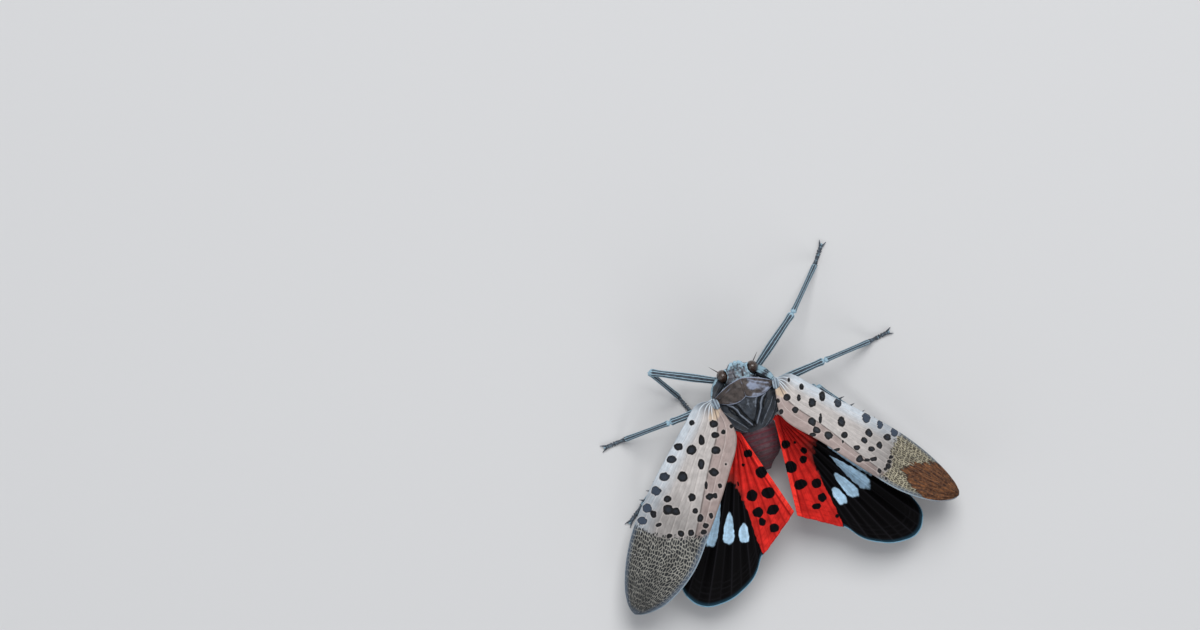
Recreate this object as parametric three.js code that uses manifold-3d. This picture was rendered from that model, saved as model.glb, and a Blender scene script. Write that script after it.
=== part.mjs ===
// A spotted lanternfly at life size, standing with its wings half spread, as a still museum model.
// Millimetres, +Z up. Inside the group `insect`, Y = 0 is the widest line of the neck shield, -Y is towards
// the face, +X is the animal's left and Z = 0 is the surface under its feet. The outer group moves that to
// the middle of the footprint.
import * as THREE from "three";
import { mergeVertices } from "three/addons/utils/BufferGeometryUtils.js";
import Module from "manifold-3d";

const wasm = await Module();
wasm.setup();

// Driving dimensions.
const FOREWING_LENGTH = 21.6;
const FOREWING_CHORD = 8.2; // widest, costal margin to trailing margin
const SHIELD_WIDTH = 6.1; // the neck shield, corner to corner
const GAP = 0.3; // clearance that two neighbouring pieces keep
const MEMBRANE = 0.5; // thickness of a wing
const VEIN_HEIGHT = 0.14; // how far a main vein stands out of the wing
const VEIN_HALF_WIDTH = 0.035; // of a vein's foot, as a share of the chord

const WAX_GREY = 0x5b6872;
const COLOURS = {
  shield: 0x756a62,
  scutum: 0x3c3c44,
  flank: 0x45484e,
  head: 0x6d737a,
  eye: 0x2c1a12,
  antenna: 0xc0562a,
  beak: 0x4a4640,
  abdomen: 0x49303a,
  forewing: 0xb9aea6,
  hindwing: 0xc2211c,
  leg: WAX_GREY,
};

// Small helpers.

const vec = (x, y, z) => new THREE.Vector3(x, y, z);
const radians = THREE.MathUtils.degToRad;
const mix = THREE.MathUtils.lerp;
const ease = (x, low, high) => THREE.MathUtils.smoothstep(x, low, high);
const span = (count) => [...Array(count + 1).keys()].map((i) => i / count);

// The height at x of a smooth curve through the points [x, y]. Its slopes come from each point's neighbours.
function curveThrough(points, x) {
  const last = points.length - 1;
  if (x <= points[0][0]) return points[0][1];
  if (x >= points[last][0]) return points[last][1];
  const i = points.findIndex((p) => p[0] > x) - 1;
  const slope = (k) => {
    const before = points[Math.max(k - 1, 0)];
    const after = points[Math.min(k + 1, last)];
    return (after[1] - before[1]) / (after[0] - before[0]);
  };
  const width = points[i + 1][0] - points[i][0];
  const t = (x - points[i][0]) / width;
  const t2 = t * t;
  const t3 = t2 * t;
  return (
    (2 * t3 - 3 * t2 + 1) * points[i][1] +
    (t3 - 2 * t2 + t) * width * slope(i) +
    (3 * t2 - 2 * t3) * points[i + 1][1] +
    (t3 - t2) * width * slope(i + 1)
  );
}

// A closed geometry from points and triangles, turned so that its faces point out.
function closedShape(points, faces) {
  let volume = 0;
  for (const [a, b, c] of faces) volume += points[a].dot(points[b].clone().cross(points[c]));
  const turned = volume < 0 ? faces.map(([a, b, c]) => [a, c, b]) : faces;
  const geometry = new THREE.BufferGeometry();
  const places = points.flatMap((point) => point.toArray());
  geometry.setAttribute("position", new THREE.Float32BufferAttribute(places, 3));
  return geometry.setIndex(turned.flat());
}

// Rings of equal count joined into a tube, with a fan of triangles over each end.
function skinOver(rings) {
  const sides = rings[0].length;
  const points = rings.flat();
  const faces = [];
  for (let r = 0; r + 1 < rings.length; r++)
    for (let k = 0; k < sides; k++) {
      const next = (k + 1) % sides;
      const [a, b, c, d] = [r * sides + k, r * sides + next, (r + 1) * sides + next, (r + 1) * sides + k];
      faces.push([a, b, c], [a, c, d]);
    }
  for (const [start, flip] of [[0, true], [(rings.length - 1) * sides, false]]) {
    const middle = vec(0, 0, 0);
    for (let k = 0; k < sides; k++) middle.add(points[start + k]);
    points.push(middle.divideScalar(sides));
    for (let k = 0; k < sides; k++) {
      const pair = [start + k, start + ((k + 1) % sides)];
      faces.push(flip ? [pair[1], pair[0], points.length - 1] : [pair[0], pair[1], points.length - 1]);
    }
  }
  return closedShape(points, faces);
}

// A sheet of even thickness: rows[i][j] = { at, normal, rise }, where rise lifts the upper face alone.
// Both faces are split along the same diagonals.
function sheet(rows, thickness) {
  const columns = rows[0].length;
  const cells = rows.flat();
  const upper = cells.map((c) => c.at.clone().addScaledVector(c.normal, thickness / 2 + c.rise));
  const lower = cells.map((c) => c.at.clone().addScaledVector(c.normal, -thickness / 2));
  const faces = [];
  for (let i = 0; i + 1 < rows.length; i++)
    for (let j = 0; j + 1 < columns; j++) {
      const a = i * columns + j;
      for (const [p, q, r] of [[a, a + 1, a + columns + 1], [a, a + columns + 1, a + columns]])
        faces.push([p, q, r], [p + cells.length, r + cells.length, q + cells.length]);
    }
  const rim = [];
  for (let j = 0; j < columns; j++) rim.push(j);
  for (let i = 1; i < rows.length; i++) rim.push(i * columns + columns - 1);
  for (let j = columns - 2; j >= 0; j--) rim.push((rows.length - 1) * columns + j);
  for (let i = rows.length - 2; i > 0; i--) rim.push(i * columns);
  rim.forEach((a, k) => {
    const b = rim[(k + 1) % rim.length];
    faces.push([a, a + cells.length, b], [b, a + cells.length, b + cells.length]);
  });
  return closedShape([...upper, ...lower], faces);
}

function toSolid(geometry) {
  const loose = geometry.index ? geometry.toNonIndexed() : geometry;
  const bare = new THREE.BufferGeometry().setAttribute("position", loose.getAttribute("position"));
  const merged = mergeVertices(bare, 1e-4);
  return new wasm.Manifold(
    new wasm.Mesh({
      numProp: 3,
      vertProperties: merged.attributes.position.array,
      triVerts: new Uint32Array(merged.index.array),
    }),
  );
}

const join = (...solids) => solids.reduce((all, one) => all.add(one));

// The solid less its neighbours, keeping only the largest closed surface of what is left.
function clearOf(solid, ...neighbours) {
  const left = neighbours.reduce((all, one) => all.subtract(one), solid);
  return left.decompose().reduce((a, b) => (b.volume() > a.volume() ? b : a));
}

// An ellipsoid with its poles along Z.
function ellipsoid(centre, radii, grow = 0, around = 12, down = 8) {
  const ball = new THREE.SphereGeometry(1, around, down).rotateX(Math.PI / 2);
  ball.scale(radii.x + grow, radii.y + grow, radii.z + grow);
  return toSolid(ball.translate(centre.x, centre.y, centre.z));
}

// A body stretch with level cross-sections along Y. Each station is
// { y, z, half, up, down }: the place of its centre, its half width, and its height over and under that.
function bodyStretch(stations, grow = 0, sides = 16, squareness = 0.85) {
  const last = stations.length - 1;
  const rings = stations.map((s, i) => {
    const y = s.y + (i === 0 ? -grow : i === last ? grow : 0);
    return span(sides - 1).map((_, k) => {
      const turn = (2 * Math.PI * k) / sides;
      const [c, q] = [Math.cos(turn), Math.sin(turn)];
      const across = Math.sign(c) * Math.abs(c) ** squareness * (s.half + grow);
      const height = Math.sign(q) * Math.abs(q) ** squareness * ((q > 0 ? s.up : s.down) + grow);
      return vec(across, y, s.z + height);
    });
  });
  return toSolid(skinOver(rings));
}

// A limb along stations { at, radius }, with a section of `sides` corners that alternate between keel and
// groove, and a short bevel at both ends.
function limb(stations, { sides = 8, keel = 0.1, grow = 0 } = {}) {
  const places = stations.map((s) => s.at);
  const last = places.length - 1;
  const before = (i) => places[Math.max(i - 1, 0)];
  const direction = (i) => places[Math.min(i + 1, last)].clone().sub(before(i)).normalize();
  const ring = (centre, forward, radius) => {
    const side = vec(0, 0, 1).cross(forward).normalize();
    const top = forward.clone().cross(side);
    return span(sides - 1).map((_, k) => {
      const turn = (2 * Math.PI * (k + 0.5)) / sides;
      const reach = radius * (1 + (k % 2 ? -keel : keel));
      return centre
        .clone()
        .addScaledVector(side, Math.cos(turn) * reach)
        .addScaledVector(top, Math.sin(turn) * reach);
    });
  };
  const bevel = 0.55;
  const rings = stations.map((s, i) => ring(s.at, direction(i), s.radius + grow));
  const cap = (i, sign) => {
    const { radius } = stations[i];
    const centre = places[i].clone().addScaledVector(direction(i), sign * (radius * bevel + grow));
    return ring(centre, direction(i), (radius + grow) * (1 - bevel * 0.8));
  };
  return toSolid(skinOver([cap(0, -1), ...rings, cap(last, 1)]));
}

// A tapered spine or claw from its root to its tip, with `sides` sides and a bend half way.
function spine(root, tip, radius, { sides = 5, bend = vec(0, 0, 0) } = {}) {
  const middle = root.clone().lerp(tip, 0.55).add(bend);
  const stations = [root, middle, tip].map((at, i) => ({ at, radius: radius * [1, 0.7, 0.25][i] }));
  return limb(stations, { sides, keel: 0 });
}

// Forewings. Flat outline, from the root: distance along the wing, distance across it.
const COSTAL_MARGIN = [
  [-0.6, 0.45], [0, 0.75], [0.5, 1.5], [1.2, 2.05], [3.1, 2.4], [5.9, 2.9], [8.7, 3.35],
  [11.2, 3.62], [13.3, 3.75], [15.4, 3.6], [17.7, 3.05], [19.7, 2.2], [20.9, 1.35], [FOREWING_LENGTH, 0.35],
];
const TRAILING_MARGIN = [
  [-0.6, -0.35], [0, -0.5], [0.7, -1.7], [1.2, -2.6], [1.9, -3.3], [3.1, -3.75], [4.5, -3.95], [7.9, -4.25],
  [12, -4.4], [14.6, FOREWING_CHORD * -0.54], [16.4, -4.15], [18.2, -3.55], [19.7, -2.75], [20.9, -1.65],
  [FOREWING_LENGTH, -0.55],
];
const CLAVAL_SEAM_END = 13.5; // where the seam of the inner field runs out at the trailing margin
const NODAL_LINE = 14.2; // where the smooth field gives way to the net of the wing tip

// Shares of the chord, from the trailing margin, that each long vein holds at the root and near the tip.
const LONG_VEINS = [
  { name: "anal", root: 0.2, tip: 0.05 },
  { name: "claval seam", root: 0.38, tip: 0.12 },
  { name: "cubitus", root: 0.5, tip: 0.27 },
  { name: "media", root: 0.59, tip: 0.45 },
  { name: "radius", root: 0.7, tip: 0.66 },
  { name: "subcosta", root: 0.84, tip: 0.87 },
];
const FOREWING_ROWS = 19;

// Angles in degrees. A wing's roll turns its costal margin down, from rootRoll at the hinge to roll further
// out. camber is how far both margins bend below the middle, and stretch the wing's share of the full length.
const FOREWINGS = {
  left: {
    side: 1,
    root: vec(3.01, 0.3, 6.35),
    azimuth: 38.8,
    pitch: 7.5,
    rootRoll: 30,
    roll: 32.6,
    camber: 0.35,
    stretch: 1.01,
  },
  right: {
    side: -1,
    root: vec(3.15, 0.2, 6.35),
    azimuth: 40.8,
    pitch: 8.5,
    rootRoll: 40,
    roll: 53.5,
    camber: 0.1,
    stretch: 0.97,
  },
};

// Unit vectors along the wing, across it towards the costal margin, and out of its upper face.
function wingAxes({ side, azimuth, pitch }, roll) {
  const [a, p, r] = [azimuth, pitch, roll].map(radians);
  const along = vec(Math.sin(a) * Math.cos(p), Math.cos(a) * Math.cos(p), -Math.sin(p));
  const level = vec(Math.cos(a), -Math.sin(a), 0);
  const up = level.clone().cross(along);
  const across = level.clone().multiplyScalar(Math.cos(r)).addScaledVector(up, -Math.sin(r));
  const normal = up.clone().multiplyScalar(Math.cos(r)).addScaledVector(level, Math.sin(r));
  return [along, across, normal].map((v) => v.multiply(vec(side, 1, 1)));
}

function veinShare(vein, along) {
  const seamward = ease(along, 0.5, CLAVAL_SEAM_END + 2);
  return mix(vein.root, vein.tip, seamward);
}

// One row of the forewing's sheet at a distance along it: three columns for each vein and one at each margin.
// crossVein is the share of a vein's height that the whole row has but for its margins. A grown row has
// the full height all over, and reaches past both margins.
function forewingRow(wing, along, crossVein, grow) {
  const roll = mix(wing.rootRoll, wing.roll, ease(along, 0, 7));
  const [forward, across, normal] = wingAxes(wing, roll);
  const trailing = curveThrough(TRAILING_MARGIN, along);
  const chord = curveThrough(COSTAL_MARGIN, along) - trailing;
  const overhang = grow / chord;
  const columns = [{ share: -overhang, vein: 0 }];
  for (const vein of LONG_VEINS) {
    const share = veinShare(vein, along);
    for (const offset of [-1, 0, 1])
      columns.push({ share: share + offset * VEIN_HALF_WIDTH * 0.9, vein: offset ? 0 : 1 });
  }
  columns.push({ share: 1 + overhang, vein: 0 });
  return columns.map(({ share, vein }) => {
    const c = trailing + chord * share;
    const sink = wing.camber * (c / (FOREWING_CHORD / 2)) ** 2;
    const at = wing.root.clone().multiply(vec(wing.side, 1, 1));
    at.addScaledVector(forward, along * wing.stretch).addScaledVector(across, c);
    at.addScaledVector(normal, -sink);
    const inner = share > 0 && share < 1;
    return { at, normal, rise: VEIN_HEIGHT * (grow ? 1 : Math.max(vein, inner ? crossVein : 0)) };
  });
}

function forewing(wing, grow = 0) {
  const rows = span(FOREWING_ROWS).map((s, i) => {
    const along = mix(-0.6 - grow, FOREWING_LENGTH, 1 - (1 - s) ** 1.35);
    const crossVein = along > NODAL_LINE && i % 2 ? 0.8 : 0;
    return forewingRow(wing, along, crossVein, grow);
  });
  return toSolid(sheet(rows, MEMBRANE + 2 * grow));
}

// Hindwings. A fan: share runs from the inner margin, 0, over the notch, 0.5, and the apex, 1, to the hidden
// leading margin, 1.3. Each point gives the reach there as a share of the wing's length.
const FAN_REACH = [
  [0, 0.56], [0.25, 0.62], [0.47, 0.7], [0.53, 0.73], [0.58, 0.79], [0.66, 0.86], [0.8, 0.94],
  [0.9, 0.98], [1, 1], [1.1, 0.985], [1.2, 0.92], [1.3, 0.74],
];
const FAN_END = 1.3;
const FAN_FOLDS = 8;
const FAN_ROWS = 8;
const FOLD_DEPTH = 0.32; // of a pleat at the wing's edge

// In degrees, opens and reaches are the fan's angles from straight back at inner margin and apex. fall and
// tilt: how steeply it drops towards the back and towards the side.
const HINDWINGS = {
  left: {
    side: 1, root: vec(1.75, 2.95, 5.5), length: 17.8, opens: -16.2, reaches: 27.5, fall: 4, tilt: 9,
  },
  right: { side: -1, root: vec(2.05, 2.75, 5.5), length: 18.4, opens: -4.6, reaches: 32, fall: 4, tilt: 9 },
};

function hindwingPoint(wing, share, reach) {
  const turn = radians(mix(wing.opens, wing.reaches, share));
  const r = reach * wing.length * curveThrough(FAN_REACH, share);
  const pleat = (FOLD_DEPTH / 2) * Math.cos((share / FAN_END) * FAN_FOLDS * 2 * Math.PI) * reach;
  const lateral = r * Math.sin(turn);
  const back = r * Math.cos(turn);
  const fall = back * Math.tan(radians(wing.fall)) + lateral * Math.tan(radians(wing.tilt));
  return vec(wing.side * (wing.root.x + lateral), wing.root.y + back, wing.root.z - fall + pleat);
}

function hindwing(wing) {
  const narrow = 0.012; // half width of a vein's foot, as a share of the fan
  const shares = [0];
  for (let fold = 1; fold < FAN_FOLDS; fold++) {
    const crest = (FAN_END * fold) / FAN_FOLDS;
    const valley = crest - FAN_END / FAN_FOLDS / 2;
    shares.push(valley, crest - narrow, crest, crest + narrow);
  }
  shares.push(FAN_END * (1 - 0.5 / FAN_FOLDS), FAN_END);
  const isVein = (j) => j > 0 && j < shares.length - 2 && j % 4 === 3;
  const rows = span(FAN_ROWS).map((s) => {
    const reach = mix(0.035, 1, s ** 1.15);
    return shares.map((share, j) => ({
      at: hindwingPoint(wing, share, reach),
      normal: vec(0, 0, 1),
      rise: isVein(j) ? VEIN_HEIGHT : 0,
    }));
  });
  return toSolid(sheet(rows, MEMBRANE));
}

// A short stalk that carries the fan's point into the flank of the thorax.
function hindwingStalk(wing) {
  const fanPoint = hindwingPoint(wing, 0.5, 0.12);
  const inner = wing.root.clone().multiply(vec(wing.side * 0.55, 1, 1)).add(vec(0, -0.5, -0.2));
  return limb(
    [{ at: inner, radius: 0.42 }, { at: fanPoint, radius: 0.3 }],
    { keel: 0 },
  );
}

// Head: stations run from the snout to the neck.
const HEAD_STATIONS = [
  { y: -2.9, z: 5.75, half: 0.3, up: 0.3, down: 0.5 },
  { y: -2.72, z: 5.6, half: 0.78, up: 0.6, down: 1.15 },
  { y: -2.35, z: 5.4, half: 1.08, up: 0.85, down: 1.85 },
  { y: -1.8, z: 5.25, half: 1.25, up: 1.05, down: 2.15 },
  { y: -1.3, z: 5.2, half: 1.35, up: 1.15, down: 1.95 },
  { y: -0.6, z: 5.2, half: 1.3, up: 1.1, down: 1.6 },
];
const EYE = { centre: vec(1.5, -1.95, 5.25), radii: vec(0.56, 0.62, 0.74) };
const ANTENNA_BULB = { centre: vec(1.55, -2.15, 3.85), radius: 0.34 };
const BRISTLE_LENGTH = 1.5;
const BEAK_TIP = vec(0, 3.4, 1.75);

function headShape(grow = 0) {
  const skull = bodyStretch(HEAD_STATIONS, grow, 16);
  if (grow) return skull;
  const snout = spine(vec(0, -2.45, 5.95), vec(0, -3.02, 6.6), 0.4, { sides: 6, bend: vec(0, -0.14, -0.06) });
  const keel = (path, radius) => limb(path.map((at) => ({ at: vec(...at), radius })), { sides: 6, keel: 0 });
  const lip = spine(vec(0, -2.1, 4.1), vec(0, -1.35, 2.6), 0.55, { bend: vec(0, -0.2, 0) });
  const pieces = [skull, snout, lip];
  pieces.push(keel([[0, -2.9, 5.6], [0, -2.8, 4.9], [0, -2.3, 3.9]], 0.09));
  for (const side of [1, -1]) {
    pieces.push(keel([[side * 0.32, -2.85, 5.95], [side * 0.66, -2.6, 4.9], [side * 0.5, -2.1, 3.8]], 0.13));
    const crown = [[side * 0.25, -2.75, 6.15], [side * 0.85, -2.25, 6.12], [side * 1.05, -1.35, 6.1]];
    pieces.push(keel(crown, 0.15));
  }
  return join(...pieces);
}

const eyeBall = (side, grow = 0) =>
  ellipsoid(EYE.centre.clone().multiply(vec(side, 1, 1)), EYE.radii, grow);

function antenna(side) {
  const at = (x, y, z) => vec(side * x, y, z);
  const { centre, radius } = ANTENNA_BULB;
  const radii = vec(radius, radius, radius * 1.1);
  const bulb = ellipsoid(centre.clone().multiply(vec(side, 1, 1)), radii, 0, 12, 8);
  const stem = limb([{ at: at(0.9, -1.9, 4), radius: 0.26 }, { at: at(1.5, -2.1, 3.87), radius: 0.26 }]);
  const reach = vec(0.75, -0.85, -0.45).setLength(BRISTLE_LENGTH);
  const end = centre.clone().add(reach).multiply(vec(side, 1, 1));
  const bristle = spine(at(1.6, -2.2, 3.82), end, 0.25, { sides: 6 });
  return join(bulb, stem, bristle);
}

function beak() {
  const path = [
    { at: vec(0, -1.25, 2.45), radius: 0.34 },
    { at: vec(0, -0.6, 1.98), radius: 0.32 },
    { at: vec(0, 1.4, 1.85), radius: 0.28 },
    { at: BEAK_TIP, radius: 0.16 },
  ];
  return limb(path, { keel: 0.04 });
}

// Thorax. The neck shield is an arched plate over the prothorax.
const SHIELD_HALF = SHIELD_WIDTH / 2;
const shieldFront = (x) => -1.3 + 1.25 * Math.abs(x) ** 1.7;
const shieldRear = (x) => 0.5 + 0.42 * Math.sin(Math.PI * Math.abs(x) ** 0.8) - 0.35 * Math.abs(x) ** 3;
const shieldHeight = (x, y) => 7.35 - 1.35 * x * x - 0.09 * (y + 0.2) ** 2 - 0.08 * y;

const PROTHORAX_STATIONS = [
  { y: -1.05, z: 5, half: 1.75, up: 1.75, down: 1.75 },
  { y: -0.4, z: 5, half: 2.1, up: 2.0, down: 2.1 },
  { y: 0.25, z: 5, half: 2.2, up: 2.05, down: 2.2 },
];
const MESOTHORAX_STATIONS = [
  { y: 0.1, z: 4.7, half: 2.2, up: 2.2, down: 1.95 },
  { y: 0.9, z: 4.7, half: 2.35, up: 2.35, down: 2.25 },
  { y: 1.7, z: 4.6, half: 2.25, up: 2.2, down: 2.3 },
  { y: 2.3, z: 4.5, half: 2.0, up: 1.9, down: 2.1 },
];
const METATHORAX_STATIONS = [
  { y: 2.2, z: 4.35, half: 1.95, up: 1.75, down: 1.95 },
  { y: 2.7, z: 4.3, half: 2.05, up: 1.7, down: 2.0 },
  { y: 3.3, z: 4.15, half: 1.9, up: 1.5, down: 1.7 },
];

// x and y here are shares of the half width, so that one formula serves any shield width.
function shieldPlate(grow = 0) {
  const rows = span(4).map((v) =>
    span(14).map((u) => {
      const x = mix(-1, 1, u);
      const y = mix(shieldFront(x) - grow, shieldRear(x) + grow * 1.4, v);
      const keel = Math.abs(x) < 0.05 ? 0.12 : 0;
      const rim = v === 0 || v === 1 ? 0.08 : 0;
      const reach = SHIELD_HALF + grow;
      const rise = grow ? 0.1 : keel + rim;
      return { at: vec(x * reach, y, shieldHeight(x, y)), normal: vec(0, 0, 1), rise };
    }),
  );
  return toSolid(sheet(rows, MEMBRANE + 2 * grow));
}

const prothorax = (grow = 0) => join(bodyStretch(PROTHORAX_STATIONS, grow), shieldPlate(grow));

// The back shield narrows to the point of the scutellum, with two keels that run together there.
const SCUTELLUM_TIP = 3.6;
const BACK_OUTLINE = [[0.1, 2.3], [0.9, 2.2], [1.7, 1.6], [2.6, 0.85], [SCUTELLUM_TIP, 0.14]];

function backPlate(grow = 0) {
  const rows = span(7).map((v) => {
    const y = mix(0.1 - grow, SCUTELLUM_TIP + grow, v);
    const half = curveThrough(BACK_OUTLINE, y) + grow;
    return span(8).map((u, j) => {
      const x = mix(-1, 1, u);
      const keel = j === 1 || j === 7 ? 0.16 : j === 4 ? 0.06 : 0;
      const z = 7.1 - 0.2 * (x * half) ** 2 - 0.14 * (y - 0.4);
      return { at: vec(x * half, y, z), normal: vec(0, 0, 1), rise: grow ? 0.1 : keel };
    });
  });
  return toSolid(sheet(rows, MEMBRANE + 2 * grow));
}

// A lobe on each flank reaches out to the hinge of the forewing.
function mesothorax(grow = 0) {
  const hinge = (side) => ellipsoid(vec(side * 2.1, 0.95, 5.95), vec(0.75, 0.85, 0.6), grow);
  return join(bodyStretch(MESOTHORAX_STATIONS, grow), backPlate(grow), hinge(1), hinge(-1));
}

// The hind thorax carries a domed lobe on each side of the scutellum.
function metathorax(grow = 0) {
  const lobe = (side) => ellipsoid(vec(side * 1.05, 2.95, 5.65), vec(0.75, 0.75, 0.5), grow);
  return join(bodyStretch(METATHORAX_STATIONS, grow), lobe(1), lobe(-1));
}

// The small scale that covers each forewing's hinge.
const tegula = (wing) => {
  const { side, root } = wing;
  return ellipsoid(vec(side * (root.x - 0.05), root.y, root.z + 0.3), vec(0.6, 0.8, 0.7));
};

// Abdomen: rings that overlap like tiles, along an arc that bends down towards the tip.
const ABDOMEN_START = 3.0;
const ABDOMEN_END = 7.1;
const ABDOMEN_RINGS = 6;
const ABDOMEN_HALF = [[0, 1.75], [0.3, 2.1], [0.55, 2.1], [0.8, 1.8], [0.95, 1.35], [1, 1.1]];
const abdomenAxis = (s) => vec(0, mix(ABDOMEN_START, ABDOMEN_END, s), 4.15 - 0.5 * s - 1.0 * s * s);

function abdomenStations(from, to, steps) {
  return span(steps).map((t) => {
    const s = mix(from, to, t);
    const centre = abdomenAxis(s);
    const half = curveThrough(ABDOMEN_HALF, s);
    return { y: centre.y, z: centre.z, half, up: half * 0.72, down: half * 0.8 };
  });
}

function abdomen(grow = 0) {
  if (grow) return bodyStretch(abdomenStations(0, 1, 6), grow + 0.05, 16, 0.95);
  const stations = [];
  for (let ring = 0; ring < ABDOMEN_RINGS; ring++) {
    const [front, rear] = abdomenStations(ring / ABDOMEN_RINGS, (ring + 0.82) / ABDOMEN_RINGS, 1);
    const scale = (s, share) => ({ ...s, half: s.half * share, up: s.up * share, down: s.down * share });
    stations.push(scale(front, 0.95), scale(rear, 1.03));
  }
  return bodyStretch(stations, 0, 16, 0.95);
}

// The tail piece, which hangs below the last ring.
function tailPiece() {
  const end = abdomenAxis(1);
  const start = end.y + GAP - 0.6 / ABDOMEN_RINGS;
  return bodyStretch(
    [
      { y: start, z: end.z, half: 0.76, up: 0.52, down: 0.6 },
      { y: start + 0.5, z: end.z - 0.2, half: 0.6, up: 0.45, down: 0.5 },
      { y: start + 0.95, z: end.z - 0.5, half: 0.3, up: 0.26, down: 0.28 },
    ],
    0,
    12,
    0.95,
  );
}

// Legs, as joint places read off the pose: hip, trochanter, knee, ankle and toe.
const SOLE_HEIGHT = 0.2; // of the foot's middle line above the ground
const LEGS = {
  front_left: [[0.95, -0.35, 3.5], [1.35, -1.3, 2.9], [8.1, -4.5, 4.7], [6.1, -1.35], [5.45, 0.35]],
  front_right: [[-0.95, -0.35, 3.5], [-1.45, -1.35, 2.9], [-6.84, -5.66, 4.4], [-10.5, -9.4], [-11.6, -10.9]],
  middle_left: [[1.45, 0.9, 3.2], [2.4, 0.5, 2.75], [7.7, 0.75, 4.1], [12.3, 1.05], [14.2, 1.2]],
  middle_right: [[-1.45, 0.9, 3.2], [-2.4, 0.3, 2.75], [-8.34, -0.35, 4.4], [-13.2, -0.66], [-15.1, -0.95]],
  hind_left: [[1.15, 2.7, 3.1], [1.95, 2.9, 2.6], [6.6, 3.3, 3.9], [12.7, 7.7], [14.2, 8.8]],
  hind_right: [[-1.15, 2.7, 3.1], [-1.95, 2.8, 2.6], [-6.95, 1.8, 2.25], [-12.0, 8.2], [-13.2, 9.8]],
};
const HIND_SPINES = 5;
const ANKLE_HEIGHT = 0.62;

function legJoints(name) {
  const [hip, trochanter, knee, ankle, toe] = LEGS[name];
  return {
    hip: vec(...hip),
    trochanter: vec(...trochanter),
    knee: vec(...knee),
    ankle: vec(...ankle, ANKLE_HEIGHT),
    toe: vec(...toe, SOLE_HEIGHT),
  };
}

function femur(name, grow = 0) {
  const { hip, trochanter, knee } = legJoints(name);
  const on = (share) => trochanter.clone().lerp(knee, share);
  const thigh = limb(
    [
      { at: on(0), radius: 0.34 },
      { at: on(0.12), radius: 0.3 },
      { at: on(0.45), radius: 0.37 },
      { at: on(0.85), radius: 0.31 },
      { at: on(1), radius: 0.34 },
    ],
    { keel: 0.14, grow },
  );
  if (grow) return thigh;
  const hipPiece = limb([
    { at: hip, radius: 0.62 },
    { at: hip.clone().lerp(trochanter, 0.6), radius: 0.55 },
    { at: trochanter, radius: 0.36 },
  ]);
  return join(thigh, hipPiece);
}

function tibia(name, grow = 0) {
  const { knee, ankle } = legJoints(name);
  const on = (share) => knee.clone().lerp(ankle, share);
  const shin = limb(
    [
      { at: on(0), radius: 0.28 },
      { at: on(0.12), radius: 0.25 },
      { at: on(0.6), radius: 0.25 },
      { at: on(1), radius: 0.29 },
    ],
    { keel: 0.12, grow },
  );
  if (grow || !name.startsWith("hind")) return shin;
  const outward = vec(Math.sign(knee.x), -0.6, 0.5).normalize();
  const spines = span(HIND_SPINES - 1).map((s) => {
    const root = on(mix(0.3, 0.92, s));
    return spine(root, root.clone().addScaledVector(outward, 0.72).lerp(ankle, 0.05), 0.17);
  });
  return join(shin, ...spines);
}

function foot(name) {
  const { ankle, toe } = legJoints(name);
  const heel = ankle.clone().lerp(toe, 0.22).setZ(SOLE_HEIGHT + 0.06);
  const on = (share) => heel.clone().lerp(toe, share);
  const sole = limb(
    [
      { at: ankle.clone().lerp(heel, 0.15), radius: 0.25 },
      { at: heel, radius: 0.26 },
      { at: on(0.4), radius: 0.3 },
      { at: on(0.5), radius: 0.24 },
      { at: on(1), radius: 0.28 },
    ],
    { keel: 0.03 },
  );
  const forward = toe.clone().sub(heel).setZ(0).normalize();
  const aside = vec(-forward.y, forward.x, 0);
  const claw = (sign) => {
    const tip = toe.clone().addScaledVector(forward, 0.62).addScaledVector(aside, sign * 0.34);
    const root = toe.clone().addScaledVector(aside, sign * 0.1);
    return spine(root, tip.setZ(0.08), 0.17, { sides: 4, bend: vec(0, 0, 0.1) });
  };
  const ground = toSolid(new THREE.BoxGeometry(60, 60, 10).translate(0, 0, -5));
  return clearOf(join(sole, claw(1), claw(-1)), ground);
}

// Assembly. Each piece is cut clear of what it grows from, grown by the gap.
const insect = new THREE.Group();

function add(name, solid, colour, roughness = 0.6) {
  const mesh = solid.getMesh();
  const geometry = new THREE.BufferGeometry();
  geometry.setAttribute("position", new THREE.BufferAttribute(mesh.vertProperties, 3));
  geometry.setIndex(new THREE.BufferAttribute(mesh.triVerts, 1));
  const material = new THREE.MeshStandardMaterial({ color: colour, roughness, metalness: 0 });
  const node = new THREE.Mesh(geometry, material);
  node.name = name;
  insect.add(node);
}

const grown = {
  prothorax: prothorax(GAP),
  mesothorax: mesothorax(GAP),
  metathorax: metathorax(GAP),
  abdomen: abdomen(GAP),
  head: headShape(GAP),
  eyes: [eyeBall(1, GAP), eyeBall(-1, GAP)],
};
const trunk = [grown.prothorax, grown.mesothorax, grown.metathorax];

const head = clearOf(headShape(), grown.prothorax, ...grown.eyes);
add("head", head, COLOURS.head);
const beakRoom = ellipsoid(vec(0, -1.3, 2.55), vec(0.2, 0.2, 0.2), GAP);
add("beak", clearOf(beak(), grown.head, beakRoom), COLOURS.beak);
add("pronotum", clearOf(prothorax()), COLOURS.shield);
add("mesothorax", clearOf(mesothorax(), grown.prothorax), COLOURS.scutum);
add("metathorax", clearOf(metathorax(), grown.prothorax, grown.mesothorax), COLOURS.flank);
add("abdomen", clearOf(abdomen(), grown.metathorax, grown.mesothorax), COLOURS.abdomen);
add("tail_piece", clearOf(tailPiece(), grown.abdomen), COLOURS.abdomen);

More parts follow.
